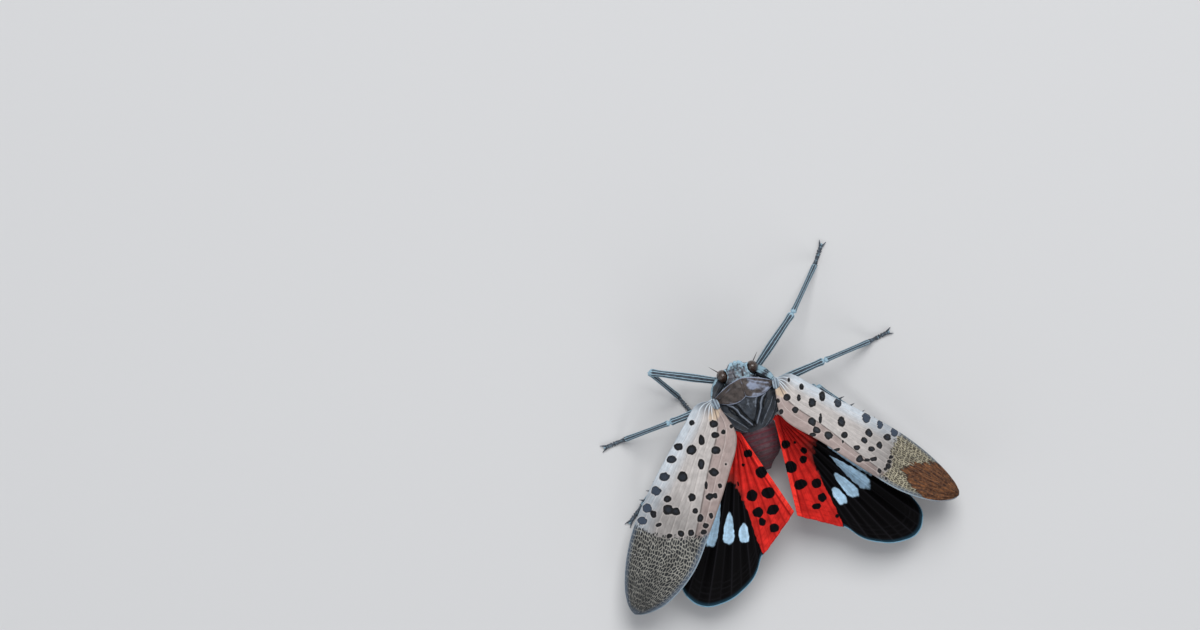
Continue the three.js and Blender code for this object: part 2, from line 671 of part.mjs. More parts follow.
for (const [name, side] of [["left", 1], ["right", -1]]) {
  add(`eye_${name}`, eyeBall(side), COLOURS.eye, 0.25);
  add(`antenna_${name}`, clearOf(antenna(side), grown.head, ...grown.eyes), COLOURS.antenna, 0.4);
  const wing = FOREWINGS[name];
  add(`tegula_${name}`, clearOf(tegula(wing), ...trunk, forewing(wing, GAP)), COLOURS.head);
  add(`forewing_${name}`, clearOf(forewing(wing), ...trunk), COLOURS.forewing);
  const fan = join(hindwing(HINDWINGS[name]), hindwingStalk(HINDWINGS[name]));
  add(`hindwing_${name}`, clearOf(fan, ...trunk, grown.abdomen), COLOURS.hindwing);
}

for (const name of Object.keys(LEGS)) {
  add(`femur_${name}`, clearOf(femur(name), ...trunk, grown.head), COLOURS.leg);
  add(`tibia_${name}`, clearOf(tibia(name), femur(name, GAP)), COLOURS.leg);
  add(`foot_${name}`, clearOf(foot(name), tibia(name, GAP)), COLOURS.leg);
}

const middle = new THREE.Box3().setFromObject(insect).getCenter(vec(0, 0, 0));
insect.position.set(-middle.x, -middle.y, 0);

const lanternfly = new THREE.Group();
lanternfly.add(insect);

export default lanternfly;
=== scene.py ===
"""A spotted lanternfly at life size with its wings half spread: skins, finishes, stage and camera.

Shapes are worked out in the insect's own frame and in millimetres: X towards its left, Y towards its tail
from the widest line of the neck shield, Z up from the floor. place() turns them into the shared frame.
"""

import bpy
import numpy as np
from bpy.props import FloatProperty, FloatVectorProperty, IntProperty, PointerProperty
from mathutils import Matrix, Vector


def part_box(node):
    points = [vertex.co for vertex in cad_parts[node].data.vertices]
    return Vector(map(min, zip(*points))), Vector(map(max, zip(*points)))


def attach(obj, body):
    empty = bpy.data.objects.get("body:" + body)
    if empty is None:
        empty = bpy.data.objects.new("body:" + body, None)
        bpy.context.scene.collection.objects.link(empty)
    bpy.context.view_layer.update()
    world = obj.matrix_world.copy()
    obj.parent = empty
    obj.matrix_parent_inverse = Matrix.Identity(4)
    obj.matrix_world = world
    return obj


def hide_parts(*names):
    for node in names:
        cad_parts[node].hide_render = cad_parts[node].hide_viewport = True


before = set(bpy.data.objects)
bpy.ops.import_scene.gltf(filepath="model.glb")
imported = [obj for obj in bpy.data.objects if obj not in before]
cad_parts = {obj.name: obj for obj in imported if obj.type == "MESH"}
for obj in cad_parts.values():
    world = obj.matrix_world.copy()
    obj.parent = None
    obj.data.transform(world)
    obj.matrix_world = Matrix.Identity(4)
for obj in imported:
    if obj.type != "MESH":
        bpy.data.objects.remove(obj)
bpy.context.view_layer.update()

bl_info = {
    "name": "Spotted lanternfly",
    "version": (1, 0, 0),
    "blender": (4, 5, 0),
    "location": "View3D > Sidebar > Lanternfly",
    "description": "Builds a life-size spotted lanternfly round its packed frame",
    "category": "Object",
}

MM = 0.001
SHIELD_FRONT = 1.3  # the neck shield's front edge lies this far before the insect's origin
SHIELD_LOW, SHIELD_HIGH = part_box("pronotum")
ORIGIN = np.array([(SHIELD_LOW.x + SHIELD_HIGH.x) / 2 / MM, SHIELD_LOW.y / MM + SHIELD_FRONT, 0.0])
SIDES = {"left": 1, "right": -1}

# Wing outlines, as in the solids: distance along the forewing and across it.
WING_CHORD = 8.2
COSTAL_MARGIN = [
    (-0.6, 0.45), (0, 0.75), (0.5, 1.5), (1.2, 2.05), (3.1, 2.4), (5.9, 2.9), (8.7, 3.35), (11.2, 3.62),
    (13.3, 3.75), (15.4, 3.6), (17.7, 3.05), (19.7, 2.2), (20.9, 1.35), (21.5, 0.6), (21.75, -0.05),
]
TRAILING_MARGIN = [
    (-0.6, -0.35), (0, -0.5), (0.7, -1.7), (1.2, -2.6), (1.9, -3.3), (3.1, -3.75), (4.5, -3.95),
    (7.9, -4.25), (12, -4.4), (14.6, -4.43), (16.4, -4.15), (18.2, -3.55), (19.7, -2.75), (20.9, -1.65),
    (21.5, -0.8), (21.75, -0.15),
]
WING_BASE, WING_TIP = -0.3, 21.75
WING_ROWS, WING_COLUMNS = 310, 142
ROWS_BEFORE_NET = 0.42  # share of the rows, the rest being closer
# Forewings: hinge, angles in degrees, camber and a factor on the distance along. patch is the cream place by
# the hinge. The last entry is painted shade that darkens the ground towards the tip: where it starts and
# ends, and how much.
FOREWINGS = {
    "left": dict(
        side=1, root=(3.01, 0.3, 6.35), azimuth=38.8, pitch=7.5, root_roll=30, roll=32.6, camber=0.35,
        stretch=1.01, patch=(0.95, -0.4), painted_tip_shade=(7.5, 12.5, 0.4),
    ),
    "right": dict(
        side=-1, root=(3.15, 0.2, 6.35), azimuth=40.8, pitch=8.5, root_roll=40, roll=53.5, camber=0.1,
        stretch=0.97, patch=(0.75, -0.75), painted_tip_shade=(8.5, 14.0, 0.42),
    ),
}
SEAM_END = 13.5  # where the seam of the inner field meets the trailing margin
SEAM_WIDTH = 0.085
NET_START = 13.5  # where the closer rows begin, about where the net of the wing tip does
# The net's border, and that of the right wing's stain: distance across, and distance along.
NET_BORDER = {
    "left": [(-4.5, 11.6), (-3.8, 11.9), (-2.2, 12.9), (-0.4, 13.5), (1.1, 13.9), (2.4, 14.0), (3.9, 13.9)],
    "right": [(-4.5, 12.9), (-4.0, 13.1), (-2.2, 13.6), (0.1, 13.5), (2.6, 13.7), (3.9, 14.3)],
}
STAIN_BORDER = [
    (-4.5, 20.5), (-3.6, 18.7), (-2.9, 16.5), (-2.1, 15.6), (-1.0, 15.3), (0.0, 15.9), (1.0, 16.9),
    (1.8, 17.8), (2.6, 18.7), (3.8, 19.4),
]

# Each vein holds a share of the chord, from the trailing margin: at the root, and near the tip.
LONG_VEINS = [
    (0.2, 0.05), (0.38, 0.12), (0.5, 0.27), (0.545, 0.36), (0.59, 0.45), (0.645, 0.55),
    (0.7, 0.66), (0.77, 0.77), (0.84, 0.87), (0.93, 0.95),
]
INNER_SEAM = 1  # its place in the list
VEIN_WIDTH = 0.07
NONE_NEAR = 9.0  # stands for the distance to a spot, bar or rim where none is near

# Spots: along, across, half length, half width, and the length's turn from the wing's axis in degrees.
FOREWING_SPOTS = {
    "left": [
        (2.6, 1.6, 0.35, 0.29, 75), (1.8, -0.7, 0.47, 0.38, 70), (1.3, -2.5, 0.21, 0.19, 70),
        (2.1, -2.0, 0.26, 0.24, 75), (2.7, -1.3, 0.43, 0.27, 70), (3.7, -0.1, 0.51, 0.33, -25),
        (5.3, 2.1, 0.55, 0.38, 70), (5.0, 0.6, 0.58, 0.5, 75), (4.0, -1.9, 0.53, 0.4, 70),
        (6.7, 2.3, 0.6, 0.4, 70), (5.8, -1.0, 0.57, 0.36, -25), (4.8, -3.4, 0.17, 0.16, 70),
        (6.0, -2.6, 0.53, 0.38, 70), (8.5, 2.4, 0.62, 0.43, 70), (7.7, 0.4, 0.6, 0.48, 70),
        (7.4, -2.3, 0.4, 0.18, -25), (6.9, -3.7, 0.27, 0.21, -25), (10.1, 2.7, 0.62, 0.43, 70),
        (10.3, 1.1, 0.5, 0.34, 70), (9.1, -1.4, 0.44, 0.38, 70), (8.3, -3.1, 0.42, 0.38, 70),
        (8.0, -3.6, 0.28, 0.21, -25), (12.0, 3.0, 0.6, 0.4, 70), (11.2, 0.6, 0.58, 0.5, 75),
        (11.0, -0.3, 0.47, 0.4, 75), (12.2, 2.0, 0.37, 0.34, -85), (10.1, -2.2, 0.32, 0.28, 70),
        (13.3, 3.0, 0.6, 0.38, 70), (10.6, -3.0, 0.38, 0.36, -25), (9.9, -3.9, 0.27, 0.21, -20),
        (12.9, 1.0, 0.33, 0.21, 70), (11.0, -3.8, 0.31, 0.28, 65), (13.4, -0.6, 0.34, 0.24, 70),
        (12.7, -1.7, 0.37, 0.32, 70), (12.2, -2.6, 0.36, 0.32, 70), (11.6, -3.8, 0.31, 0.28, 65),
    ],
    "right": [
        (1.1, 1.1, 0.24, 0.14, -80), (2.6, 1.3, 0.42, 0.26, -90), (5.0, 1.9, 0.68, 0.38, 90),
        (6.8, 2.4, 0.72, 0.41, 85), (10.1, 2.8, 0.8, 0.46, 85), (11.7, 3.0, 0.7, 0.35, 90),
        (13.4, 3.2, 0.72, 0.41, 85), (1.6, -0.9, 0.44, 0.33, 75), (0.9, -1.8, 0.3, 0.2, -80),
        (2.7, -0.2, 0.47, 0.22, -80), (4.2, 0.2, 0.68, 0.42, 85), (2.8, -1.8, 0.45, 0.33, 80),
        (1.6, -2.8, 0.27, 0.19, -85), (5.5, -1.2, 0.69, 0.2, -80), (7.7, 0.0, 0.8, 0.43, 90),
        (4.8, -2.2, 0.6, 0.42, 80), (5.5, -3.0, 0.56, 0.37, 80), (5.3, -3.8, 0.45, 0.22, 40),
        (6.8, -2.9, 0.62, 0.41, 75), (8.4, -1.5, 0.52, 0.32, 75), (8.4, -2.6, 0.32, 0.14, -85),
        (10.8, 0.8, 0.66, 0.38, 85), (10.5, -0.6, 0.53, 0.32, 75), (12.8, 1.8, 0.6, 0.34, 70),
        (12.2, 0.0, 0.58, 0.33, 80), (11.5, -1.2, 0.54, 0.32, 65), (10.0, -2.2, 0.5, 0.28, 55),
        (8.1, -4.0, 0.42, 0.21, 50), (10.6, -3.5, 0.56, 0.35, 75), (11.4, -3.0, 0.38, 0.21, 50),
        (12.0, -2.4, 0.45, 0.23, 50), (13.7, -0.7, 0.36, 0.21, 65), (13.7, -1.4, 0.36, 0.2, 55),
        (13.7, -2.1, 0.45, 0.28, 75), (13.5, -2.8, 0.3, 0.19, 75), (12.9, -3.5, 0.43, 0.25, 85),
        (13.8, -3.9, 0.23, 0.15, 75),
    ],
}

# The hindwing's reach: share of the fan, and share of the wing's length.
FAN_REACH = [
    (0, 0.56), (0.25, 0.62), (0.47, 0.7), (0.53, 0.73), (0.58, 0.79), (0.66, 0.86), (0.8, 0.94),
    (0.9, 0.98), (1, 1), (1.1, 0.985), (1.2, 0.92), (1.3, 0.74),
]
FAN_END = 1.3
FAN_FOLDS = 8
FOLD_DEPTH = 0.32
FAN_ROWS, FAN_COLUMNS = 160, 260
CROSS_VEIN_STEP, CROSS_VEIN_ZONE = 0.55, 2.6  # between two cross veins, and from the rim inwards
INNER_STRIP, INNER_GROOVE, GROOVE_LENGTH = 0.42, 0.5, 11.0  # along the edge next to the body
STALK_RADII = [(0, 0.32), (0.5, 0.17), (1, 0.07)]
# Hindwings: root, length, and in degrees the angles that the fan opens from and reaches to, measured from
# straight back, and how steeply it falls backwards and sideways.
HINDWINGS = {
    "left": dict(side=1, root=(1.75, 2.95, 5.5), length=17.8, opens=-16.2, reaches=27.5, fall=4, tilt=9),
    "right": dict(side=-1, root=(2.05, 2.75, 5.5), length=18.4, opens=-4.6, reaches=32.0, fall=4, tilt=9),
}
# Spots on the red field: sideways and backwards from the wing's root, then half width and half length.
HINDWING_SPOTS = {
    "left": [
        (-0.3, 2.9, 0.43, 0.43), (0.5, 3.8, 0.19, 0.19), (-1.0, 5.0, 0.58, 0.58), (1.5, 5.4, 0.1, 0.19),
        (0.6, 6.9, 0.54, 0.54), (-1.0, 7.1, 0.67, 0.54), (0.5, 8.6, 0.51, 0.51), (-0.9, 8.8, 0.61, 0.51),
        (0.4, 9.6, 0.38, 0.38), (-0.5, 10.5, 0.43, 0.43),
    ],
    "right": [
        (0.2, 3.4, 0.43, 0.43), (1.1, 3.5, 0.1, 0.14), (0.0, 5.6, 0.67, 0.58), (1.7, 4.5, 0.31, 0.31),
        (1.4, 5.3, 0.37, 0.37), (0.4, 7.5, 0.67, 0.46), (1.9, 7.9, 0.48, 0.48), (2.0, 9.4, 0.43, 0.43),
        (1.2, 10.0, 0.48, 0.31), (2.8, 11.5, 0.19, 0.19),
    ],
}
# Where red turns to black: share of the fan, and distance from the root. Before RED_END all is red.
BLACK_FROM = [(0.4, 17.5), (0.5, 12.8), (0.62, 7.7), (0.75, 6.1), (1.0, 5.2), (1.3, 5.0)]
RED_END = 0.47
# Pale bars between the veins: share of the fan, distance from the root, half length, half width, and taper.
PALE_BARS = [
    (0.68, 10.4, 0.9, 0.54, 0.15), (0.865, 9.95, 1.6, 0.68, 0.3), (1.06, 9.5, 2.4, 0.78, 0.38),
    (1.22, 8.7, 2.6, 0.4, 0.3),
]
BAR_ROUNDNESS = 2.4  # the power of the rounded oblong: 2 would be an ellipse

# Body stations, as in the solids: y, height of the centre, half width, height above and below the centre.
TRUNK = [
    (-1.05, 5.0, 1.6, 1.6, 1.65), (-0.4, 5.0, 2.05, 1.95, 2.05), (0.25, 4.9, 2.2, 2.05, 2.15),
    (0.9, 4.7, 2.35, 2.25, 2.25), (1.7, 4.6, 2.25, 2.1, 2.3), (2.3, 4.45, 2.05, 1.85, 2.1),
    (2.9, 4.25, 2.0, 1.6, 1.9), (3.5, 4.1, 1.85, 1.4, 1.6),
]
HEAD = [
    (-2.86, 5.75, 0.2, 0.2, 0.3), (-2.78, 5.7, 0.5, 0.42, 0.75), (-2.64, 5.6, 0.8, 0.6, 1.2),
    (-2.35, 5.4, 1.08, 0.82, 1.85), (-1.8, 5.25, 1.25, 0.95, 2.15), (-1.3, 5.2, 1.35, 0.95, 1.95),
    (-0.7, 5.2, 1.3, 0.9, 1.6),
]
# Places along Y
SEGMENT_JOINS = (0.2, 2.35)
FLANK_GROOVES = (-0.5, 1.2, 2.9)
HIP_SWELLINGS = (-0.2, 1.0, 2.7)
# Ridges and grooves in pairs: the left one's path, its width, and its share of the height.
HEAD_KEELS = [
    ([(0.2, -2.9, 6.0), (0.8, -2.4, 6.05), (1.05, -1.9, 6.1), (1.15, -1.2, 6.1)], 0.11, 1.5),
    ([(0.3, -2.9, 5.9), (0.62, -2.7, 5.0), (0.75, -2.4, 4.2), (0.5, -2.0, 3.5)], 0.09, 1.0),
    ([(1.0, -2.35, 5.9), (1.1, -2.5, 5.0), (1.05, -2.2, 4.1), (0.8, -1.7, 3.4)], 0.09, 0.9),
]
CROWN_GROOVES = [
    ([(0.12, -2.5, 6.1), (0.5, -2.0, 6.1), (0.35, -1.3, 6.15)], 0.07, 1.0),
    ([(0.75, -2.35, 6.1), (0.72, -1.8, 6.15), (0.9, -1.3, 6.1)], 0.06, 1.0),
]
SHIELD_KEELS = [
    ([(0.5, -1.1), (1.3, -0.6), (2.2, -0.15), (2.7, 0.05)], 0.1, 1.0),
    ([(0.5, 0.5), (1.5, 0.7), (2.5, 0.35)], 0.12, 0.7),
]
BACK_KEEL = [(2.05, 0.7), (1.5, 1.1), (1.2, 1.55), (1.05, 2.05), (0.7, 2.6), (0.12, 3.5)]
BACK_INNER_KEEL = [(1.3, 0.6), (0.85, 1.1), (0.62, 1.7), (0.4, 2.4), (0.1, 3.1)]
FACE_KEEL = [(0, -2.95, 5.9), (0, -2.85, 5.0), (0, -2.4, 3.9)]
EYE_CENTRE = (1.5, -1.95, 5.25)
EYE_RADII = (0.56, 0.62, 0.74)
BULB_CENTRE = (1.55, -2.15, 3.85)
BULB_RADIUS = 0.34
COLLAR = [(0.95, -1.85, 4.0), (1.42, -2.08, 3.88)]
BRISTLE_START = (0.2, -0.24, -0.1)  # from the bulb's centre
BRISTLE_END = (2.45, -3.15, 3.3)
SNOUT_PATH = [(0, -2.35, 5.85), (0, -2.62, 6.05), (0, -2.82, 6.3), (0, -2.86, 6.5)]
LIP_START, LIP_END = (0, -2.15, 4.15), (0, -1.32, 2.55)
LIP_RADII = [(0, 0.5), (0.35, 0.5), (0.8, 0.3), (1, 0.22)]
BEAK_PATH = [(0, -1.35, 2.75), (0, -1.1, 2.3), (0, -0.6, 1.98), (0, 1.4, 1.85), (0, 3.4, 1.75)]
BEAK_RADII = [(0, 0.14), (0.15, 0.17), (0.35, 0.24), (0.6, 0.22), (0.9, 0.16), (1, 0.07)]
BEAK_JOINTS = (0.36, 0.68)
SHIELD_HALF = 3.05
SHIELD_TOP, SHIELD_CORNER_FALL = 7.35, 1.35
BACK_TOP = 7.15
SCUTELLUM_TIP = 3.6
BACK_OUTLINE = [
    (0.0, 2.4), (0.7, 2.4), (1.25, 2.0), (1.75, 1.6), (2.3, 1.08), (2.85, 0.64), (SCUTELLUM_TIP, 0.12),
]
LOBE_PATH = [(2.6, 1.15, 6.0), (2.1, 1.9, 5.95), (1.5, 2.6, 5.85), (0.95, 3.25, 5.65), (0.5, 3.9, 5.3)]
STRAP_PATH = [
    (3.05, -0.15, 6.2), (2.7, -0.65, 5.95), (2.25, -1.15, 5.6), (1.85, -1.5, 5.1), (1.6, -1.5, 4.3),
    (1.4, -1.2, 3.6),
]
HINGE_CENTRE, HINGE_RADII = (2.12, 0.95, 5.8), (0.76, 1.05, 0.5)
HINGE_STRUTS = [((2.2, 0.2, 5.9), (3.15, 0.35, 6.28), 0.2), ((2.3, 0.9, 6.0), (3.2, 0.8, 6.35), 0.17)]
REAR_PLATE_CENTRE, REAR_PLATE_RADII = (0, 3.2, 5.15), (1.7, 1.0, 0.75)
SCALE_RADII = (0.36, 0.56, 0.27)
ABDOMEN_START, ABDOMEN_END = 3.2, 7.1
TAIL_SHARE = 1.24  # the tail's end, where 1 is the abdomen's
ABDOMEN_HALF = [
    (0, 1.8), (0.3, 2.1), (0.55, 2.1), (0.8, 1.8), (0.93, 1.42), (1.0, 1.1), (1.1, 0.68), (TAIL_SHARE, 0.3),
]
ABDOMEN_RINGS = 7
ABDOMEN_UP, ABDOMEN_DOWN = 0.74, 0.82  # height above and below the centre, over the half width

# Grids: rows along, and columns across or round.
SHIELD_GRID, BACK_GRID = (90, 180), (120, 110)
TRUNK_GRID, HEAD_GRID, ABDOMEN_GRID = (130, 120), (130, 140), (360, 110)
LOBE_GRID, STRAP_GRID, SNOUT_GRID, BEAK_GRID = (90, 48), (90, 56), (40, 32), (130, 32)

# Leg joints, as in the solids: hip, trochanter, knee, ankle and toe. The last two have heights in common.
ANKLE_HEIGHT, SOLE_HEIGHT = 0.62, 0.2
LEGS = {
    "front_left": [(0.95, -0.35, 3.5), (1.35, -1.3, 2.9), (8.1, -4.5, 4.7), (6.1, -1.35), (5.45, 0.35)],
    "front_right": [
        (-0.95, -0.35, 3.5), (-1.45, -1.35, 2.9), (-6.84, -5.66, 4.4), (-10.5, -9.4), (-11.6, -10.9),
    ],
    "middle_left": [(1.45, 0.9, 3.2), (2.4, 0.5, 2.75), (7.7, 0.75, 4.1), (12.3, 1.05), (14.2, 1.2)],
    "middle_right": [
        (-1.45, 0.9, 3.2), (-2.4, 0.3, 2.75), (-8.34, -0.35, 4.4), (-13.2, -0.66), (-15.1, -0.95),
    ],
    "hind_left": [(1.15, 2.7, 3.1), (1.95, 2.9, 2.6), (6.6, 3.3, 3.9), (12.7, 7.7), (14.2, 8.8)],
    "hind_right": [(-1.15, 2.7, 3.1), (-1.95, 2.8, 2.6), (-6.95, 1.8, 2.25), (-12.0, 8.2), (-13.2, 9.8)],
}
# Radii: share of the stretch, and radius. Foot joints: start and end as shares of the foot, and radius.
HIP_RADII = [(0, 0.6), (0.45, 0.62), (0.8, 0.45), (1, 0.34)]
THIGH_RADII = [(0, 0.3), (0.1, 0.27), (0.45, 0.33), (0.85, 0.27), (0.96, 0.31), (1, 0.29)]
SHIN_RADII = [(0, 0.27), (0.05, 0.25), (0.12, 0.21), (0.6, 0.2), (0.94, 0.23), (1, 0.25)]
FOOT_JOINTS = [(0.0, 0.42, 0.21), (0.4, 0.6, 0.18), (0.58, 1.0, 0.2)]
FOOT_SPINES = (0.42, 0.62)
SHIN_TEETH = 7

# The camera looks straight down, turned so that the insect's tail points down and a little to the right.
CAMERA_AIM = (10.87, -11.2)
CAMERA_TURN = 18.0
FLOOR_HALF = 3.0
# Area lights: the setting with the power, the width, and the place from the point they look at, in metres.
LIGHTS = {
    "key": ("key", 0.35, (-0.14, -0.26, 0.44)),
    "fill": ("fill", 0.5, (0.45, 0.1, 0.3)),
    "back": ("fill", 0.3, (-0.1, 0.45, 0.25)),
}
LIGHT_TARGET = (0.0, 4.0, 4.0)
SKY_TINT, SKY_STRENGTH = (0.85, 0.9, 1.0, 1), 0.3


def srgb(red, green, blue):
    """A colour from its 0 to 255 screen values to linear light."""
    part = np.array([red, green, blue]) / 255
    return tuple(np.where(part > 0.04045, ((part + 0.055) / 1.055) ** 2.4, part / 12.92))


# Tints that go with one finish only: those of the forewing, the hindwing, and the rest.
FINE_LINE, VEIN_CREAM, SEAM_BROWN = srgb(112, 94, 90), srgb(236, 226, 220), srgb(70, 54, 48)
ROOT_SLATE, ROOT_WHITE = srgb(74, 82, 94), srgb(210, 224, 234)
TIP_EDGE, RIM_BROWN, RIM_PALE = srgb(92, 106, 122), srgb(92, 74, 66), srgb(160, 178, 190)
RUST, RUST_NET, RUST_EDGE = srgb(124, 78, 44), srgb(160, 112, 74), srgb(34, 17, 9)
SPOT_CENTRE, SPOT_HALO = srgb(62, 72, 86), srgb(222, 212, 206)
# The first is a painted highlight along the hindwing's inner strip, the second painted shade in the groove
# beside it.
RED_STRIP_HIGHLIGHT, RED_GROOVE_SHADE, RED_VEIN = srgb(246, 62, 52), srgb(96, 8, 12), srgb(140, 14, 16)
BLACK_VEIN, DUSK = srgb(30, 29, 33), srgb(104, 48, 44)
HIND_GLOW, HIND_RIM = srgb(44, 84, 104), srgb(136, 180, 204)
# The first is painted shade, near black, for the plates' grooves.
PLATE_GROOVE_SHADE, PALE_FRONT_TINT, EYE_BAND = srgb(14, 15, 18), srgb(128, 112, 132), srgb(96, 84, 70)
BULB_PITS, BRISTLE = srgb(150, 40, 12), srgb(38, 30, 28)


def length(name, description, millimetres):
    """A property that holds a length."""
    return FloatProperty(name=name, description=description, default=millimetres * MM, unit="LENGTH")


def colour(name, description, *screen):
    """A property that holds a colour, whose default is given in screen values."""
    return FloatVectorProperty(name=name, description=description, subtype="COLOR", default=srgb(*screen))


class LanternflySizes(bpy.types.PropertyGroup):
    """Fine sizes that the skins add to the solids"""

    membrane: length("Membrane", "Thickness of a wing between its veins", 0.12)
    vein: length("Vein", "Height of a main wing vein", 0.09)
    net_cell: length("Net cell", "Length of a cell in the forewing's net", 0.36)
    keel: length("Keel", "Height of the keels on head and back", 0.13)
    hind_spines: IntProperty(
        name="Hind spines", description="Spines along each hind shin", default=5, min=0, max=9
    )


class LanternflyColours(bpy.types.PropertyGroup):
    """Colours of the finishes, in linear light"""

    forewing: colour("Forewing", "Waxy ground of the forewing", 194, 188, 184)
    costal: colour("Front strip", "Pale strip behind the front margin", 208, 216, 223)
    inner_field: colour("Inner field", "Field inside the long seam", 168, 151, 146)
    hinge: colour("Hinge", "Cream base of the inner field", 212, 190, 166)
    spot: colour("Spot", "Spots on both wings", 9, 9, 12)
    slate_spot: colour("Slate spot", "Waxed spots on the front strip", 58, 70, 86)
    net_left: colour("Left net", "Veins of the left wing tip", 146, 144, 136)
    cell_left: colour("Left cells", "Cells of the left wing tip", 40, 42, 44)
    net_right: colour("Right net", "Veins of the right wing tip", 170, 163, 140)
    cell_right: colour("Right cells", "Cells of the right wing tip", 76, 70, 58)
    stain: colour("Stain", "Rust stain on the right wing tip", 64, 32, 13)
    red: colour("Red", "Red field of the hindwing", 205, 43, 37)
    black: colour("Black", "Black field of the hindwing", 5, 4, 5)
    pale_bar: colour("Pale bar", "Bars on the hindwing", 182, 216, 240)
    # wax, shield_wax and back_wax also lay the painted highlights that the head, neck straps, neck shield
    # and back mark
    wax: colour("Wax", "Blue-white wax on edges", 160, 192, 208)
    slate: colour("Slate", "Back and flanks between the edges", 40, 46, 54)
    leg: colour("Leg", "Legs between their keels", 60, 68, 78)
    head: colour("Head", "Head between its keels", 92, 92, 98)
    shield: colour("Shield", "Neck shield", 67, 59, 56)
    shield_wax: colour("Shield wax", "Wax on the neck shield", 148, 158, 180)
    back_wax: colour("Back wax", "Wax on the back's keels", 124, 132, 144)
    scale: colour("Hinge scale", "Scale over the forewing's hinge", 104, 114, 126)
    scale_wax: colour("Hinge scale wax", "Ribs of that scale", 168, 186, 198)
    beak: colour("Beak", "Beak between its ridges", 52, 44, 40)
    beak_ridge: colour("Beak ridge", "Ridges of the beak", 150, 140, 130)
    mauve: colour("Mauve", "Bands of the abdomen", 74, 43, 51)
    maroon: colour("Maroon", "Seams of the abdomen", 86, 24, 38)
    orange: colour("Orange", "Bulb of the antenna", 226, 88, 24)
    eye: colour("Eye", "Facets of the eye", 56, 41, 33)


class LanternflyStage(bpy.types.PropertyGroup):
    """Floor, light and camera"""

    floor: colour("Floor", "Plain pale floor", 205, 205, 205)
    height: length("Camera height", "Camera above the floor", 454)
    lens: FloatProperty(name="Lens", description="Focal length", default=140.0, unit="CAMERA")
    key: FloatProperty(name="Key light", description="Power of the main light", default=2.35, unit="POWER")
    fill: FloatProperty(name="Fill light", description="Power of the others", default=0.75, unit="POWER")


# Arrays


def smooth(x, low, high):
    """0 below low and 1 above high, with an S-shaped rise between them."""
    t = np.clip((x - low) / (high - low), 0, 1)
    return t * t * (3 - 2 * t)


def bell(x, width):
    """A bell curve: 1 at zero and 0.37 at one width, from e to the minus square."""
    return np.exp(-((x / width) ** 2))


def blob(points, centre, radii):
    """A bell curve over a plane: 1 at the centre and 0.37 at one radius from it along each axis."""
    return np.exp(-(((points - np.array(centre)) / np.array(radii)) ** 2).sum(-1))


def circle(count):
    """Angles of places evenly round a ring."""
    return np.linspace(0, 2 * np.pi, count, endpoint=False)


def curve_through(knots, x):
    """A smooth curve through the knots: between two of them a cubic whose end slopes are those between each
    knot's own neighbours, as the solids have it."""
    knots = np.asarray(knots, float)
    before = np.vstack([knots[:1], knots[:-1]])
    after = np.vstack([knots[1:], knots[-1:]])
    slope = (after[:, 1:] - before[:, 1:]) / (after[:, :1] - before[:, :1])
    x = np.asarray(x, float)
    i = np.clip(np.searchsorted(knots[:, 0], x, side="right") - 1, 0, len(knots) - 2)
    width = knots[i + 1, 0] - knots[i, 0]
    t = np.clip((x - knots[i, 0]) / width, 0, 1)[..., None]
    width = width[..., None]
    values = (
        (2 * t**3 - 3 * t**2 + 1) * knots[i, 1:]
        + (t**3 - 2 * t**2 + t) * width * slope[i]
        + (3 * t**2 - 2 * t**3) * knots[i + 1, 1:]
        + (t**3 - t**2) * width * slope[i + 1]
    )
    return values[..., 0] if values.shape[-1] == 1 else values


def scatter(index, seed):
    """A repeatable draw between 0 and 1 for each whole number: the broken-off part of a large sine."""
    return np.modf(np.abs(np.sin(index * 12.9898 + seed * 78.233) * 43758.5453))[0]


def on_side(points, side):
    """Points of the animal's left, or with side -1 their mirror images on its right."""
    points = np.array(points, float)
    points[..., 0] *= side
    return points


def lengths_along(path):
    """Distance from the start of a path to each of its points."""
    return np.concatenate([[0], np.cumsum(np.linalg.norm(np.diff(path, axis=0), axis=1))])


def path_curve(path, t, by_length=False):
    """Places on a smooth curve through a path's points, which take even shares of t, or shares by length."""
    path = np.asarray(path, float)
    far = lengths_along(path) if by_length else np.arange(len(path))
    return curve_through(np.column_stack([far / far[-1], path]), t)


def to_path(points, path):
    """Distance of each point to a path of straight stretches, and how far along it its foot lies, 0 to 1."""
    path = np.asarray(path, float)
    start = lengths_along(path)
    nearest = np.full(points.shape[:-1], np.inf)
    along = np.zeros(points.shape[:-1])
    for k, (a, b) in enumerate(zip(path[:-1], path[1:])):
        stretch = start[k + 1] - start[k]
        t = np.clip(((points - a) @ (b - a)) / stretch**2, 0, 1)
        far = np.linalg.norm(points - a - t[..., None] * (b - a), axis=-1)
        closer = far < nearest
        nearest = np.where(closer, far, nearest)
        along = np.where(closer, (start[k] + t * stretch) / start[-1], along)
    return nearest, along


def keel(points, path, width, height, fade=0.12):
    """A rounded ridge along a path: a bell curve of the distance to it, which fades out at both ends."""
    far, along = to_path(points, path)
    return height * bell(far, width) * smooth(along, 0, fade) * smooth(1 - along, 0, fade)


def keel_pairs(points, pairs, height, fade=0.12):
    """Height of several ridges and of their mirror images."""
    return sum(
        keel(points, on_side(path, side), width, height * share, fade)
        for side in SIDES.values()
        for path, width, share in pairs
    )


def normals_of(points):
    """Unit normals of a grid of points: the cross product of its two slopes."""
    normal = np.cross(np.gradient(points, axis=0), np.gradient(points, axis=1))
    return normal / np.maximum(np.linalg.norm(normal, axis=-1, keepdims=True), 1e-9)


def normals_from(rings, centre):
    """Unit normals of a tube's rings, turned to point away from a centre."""
    normal = normals_of(np.concatenate([rings, rings[:, :1]], 1))[:, :-1]
    return normal * np.sign(np.einsum("ijk,ijk->ij", normal, rings - centre))[..., None]


# Meshes. A part is a dict: points, quads, triangles, and one number or colour per point for each mark.


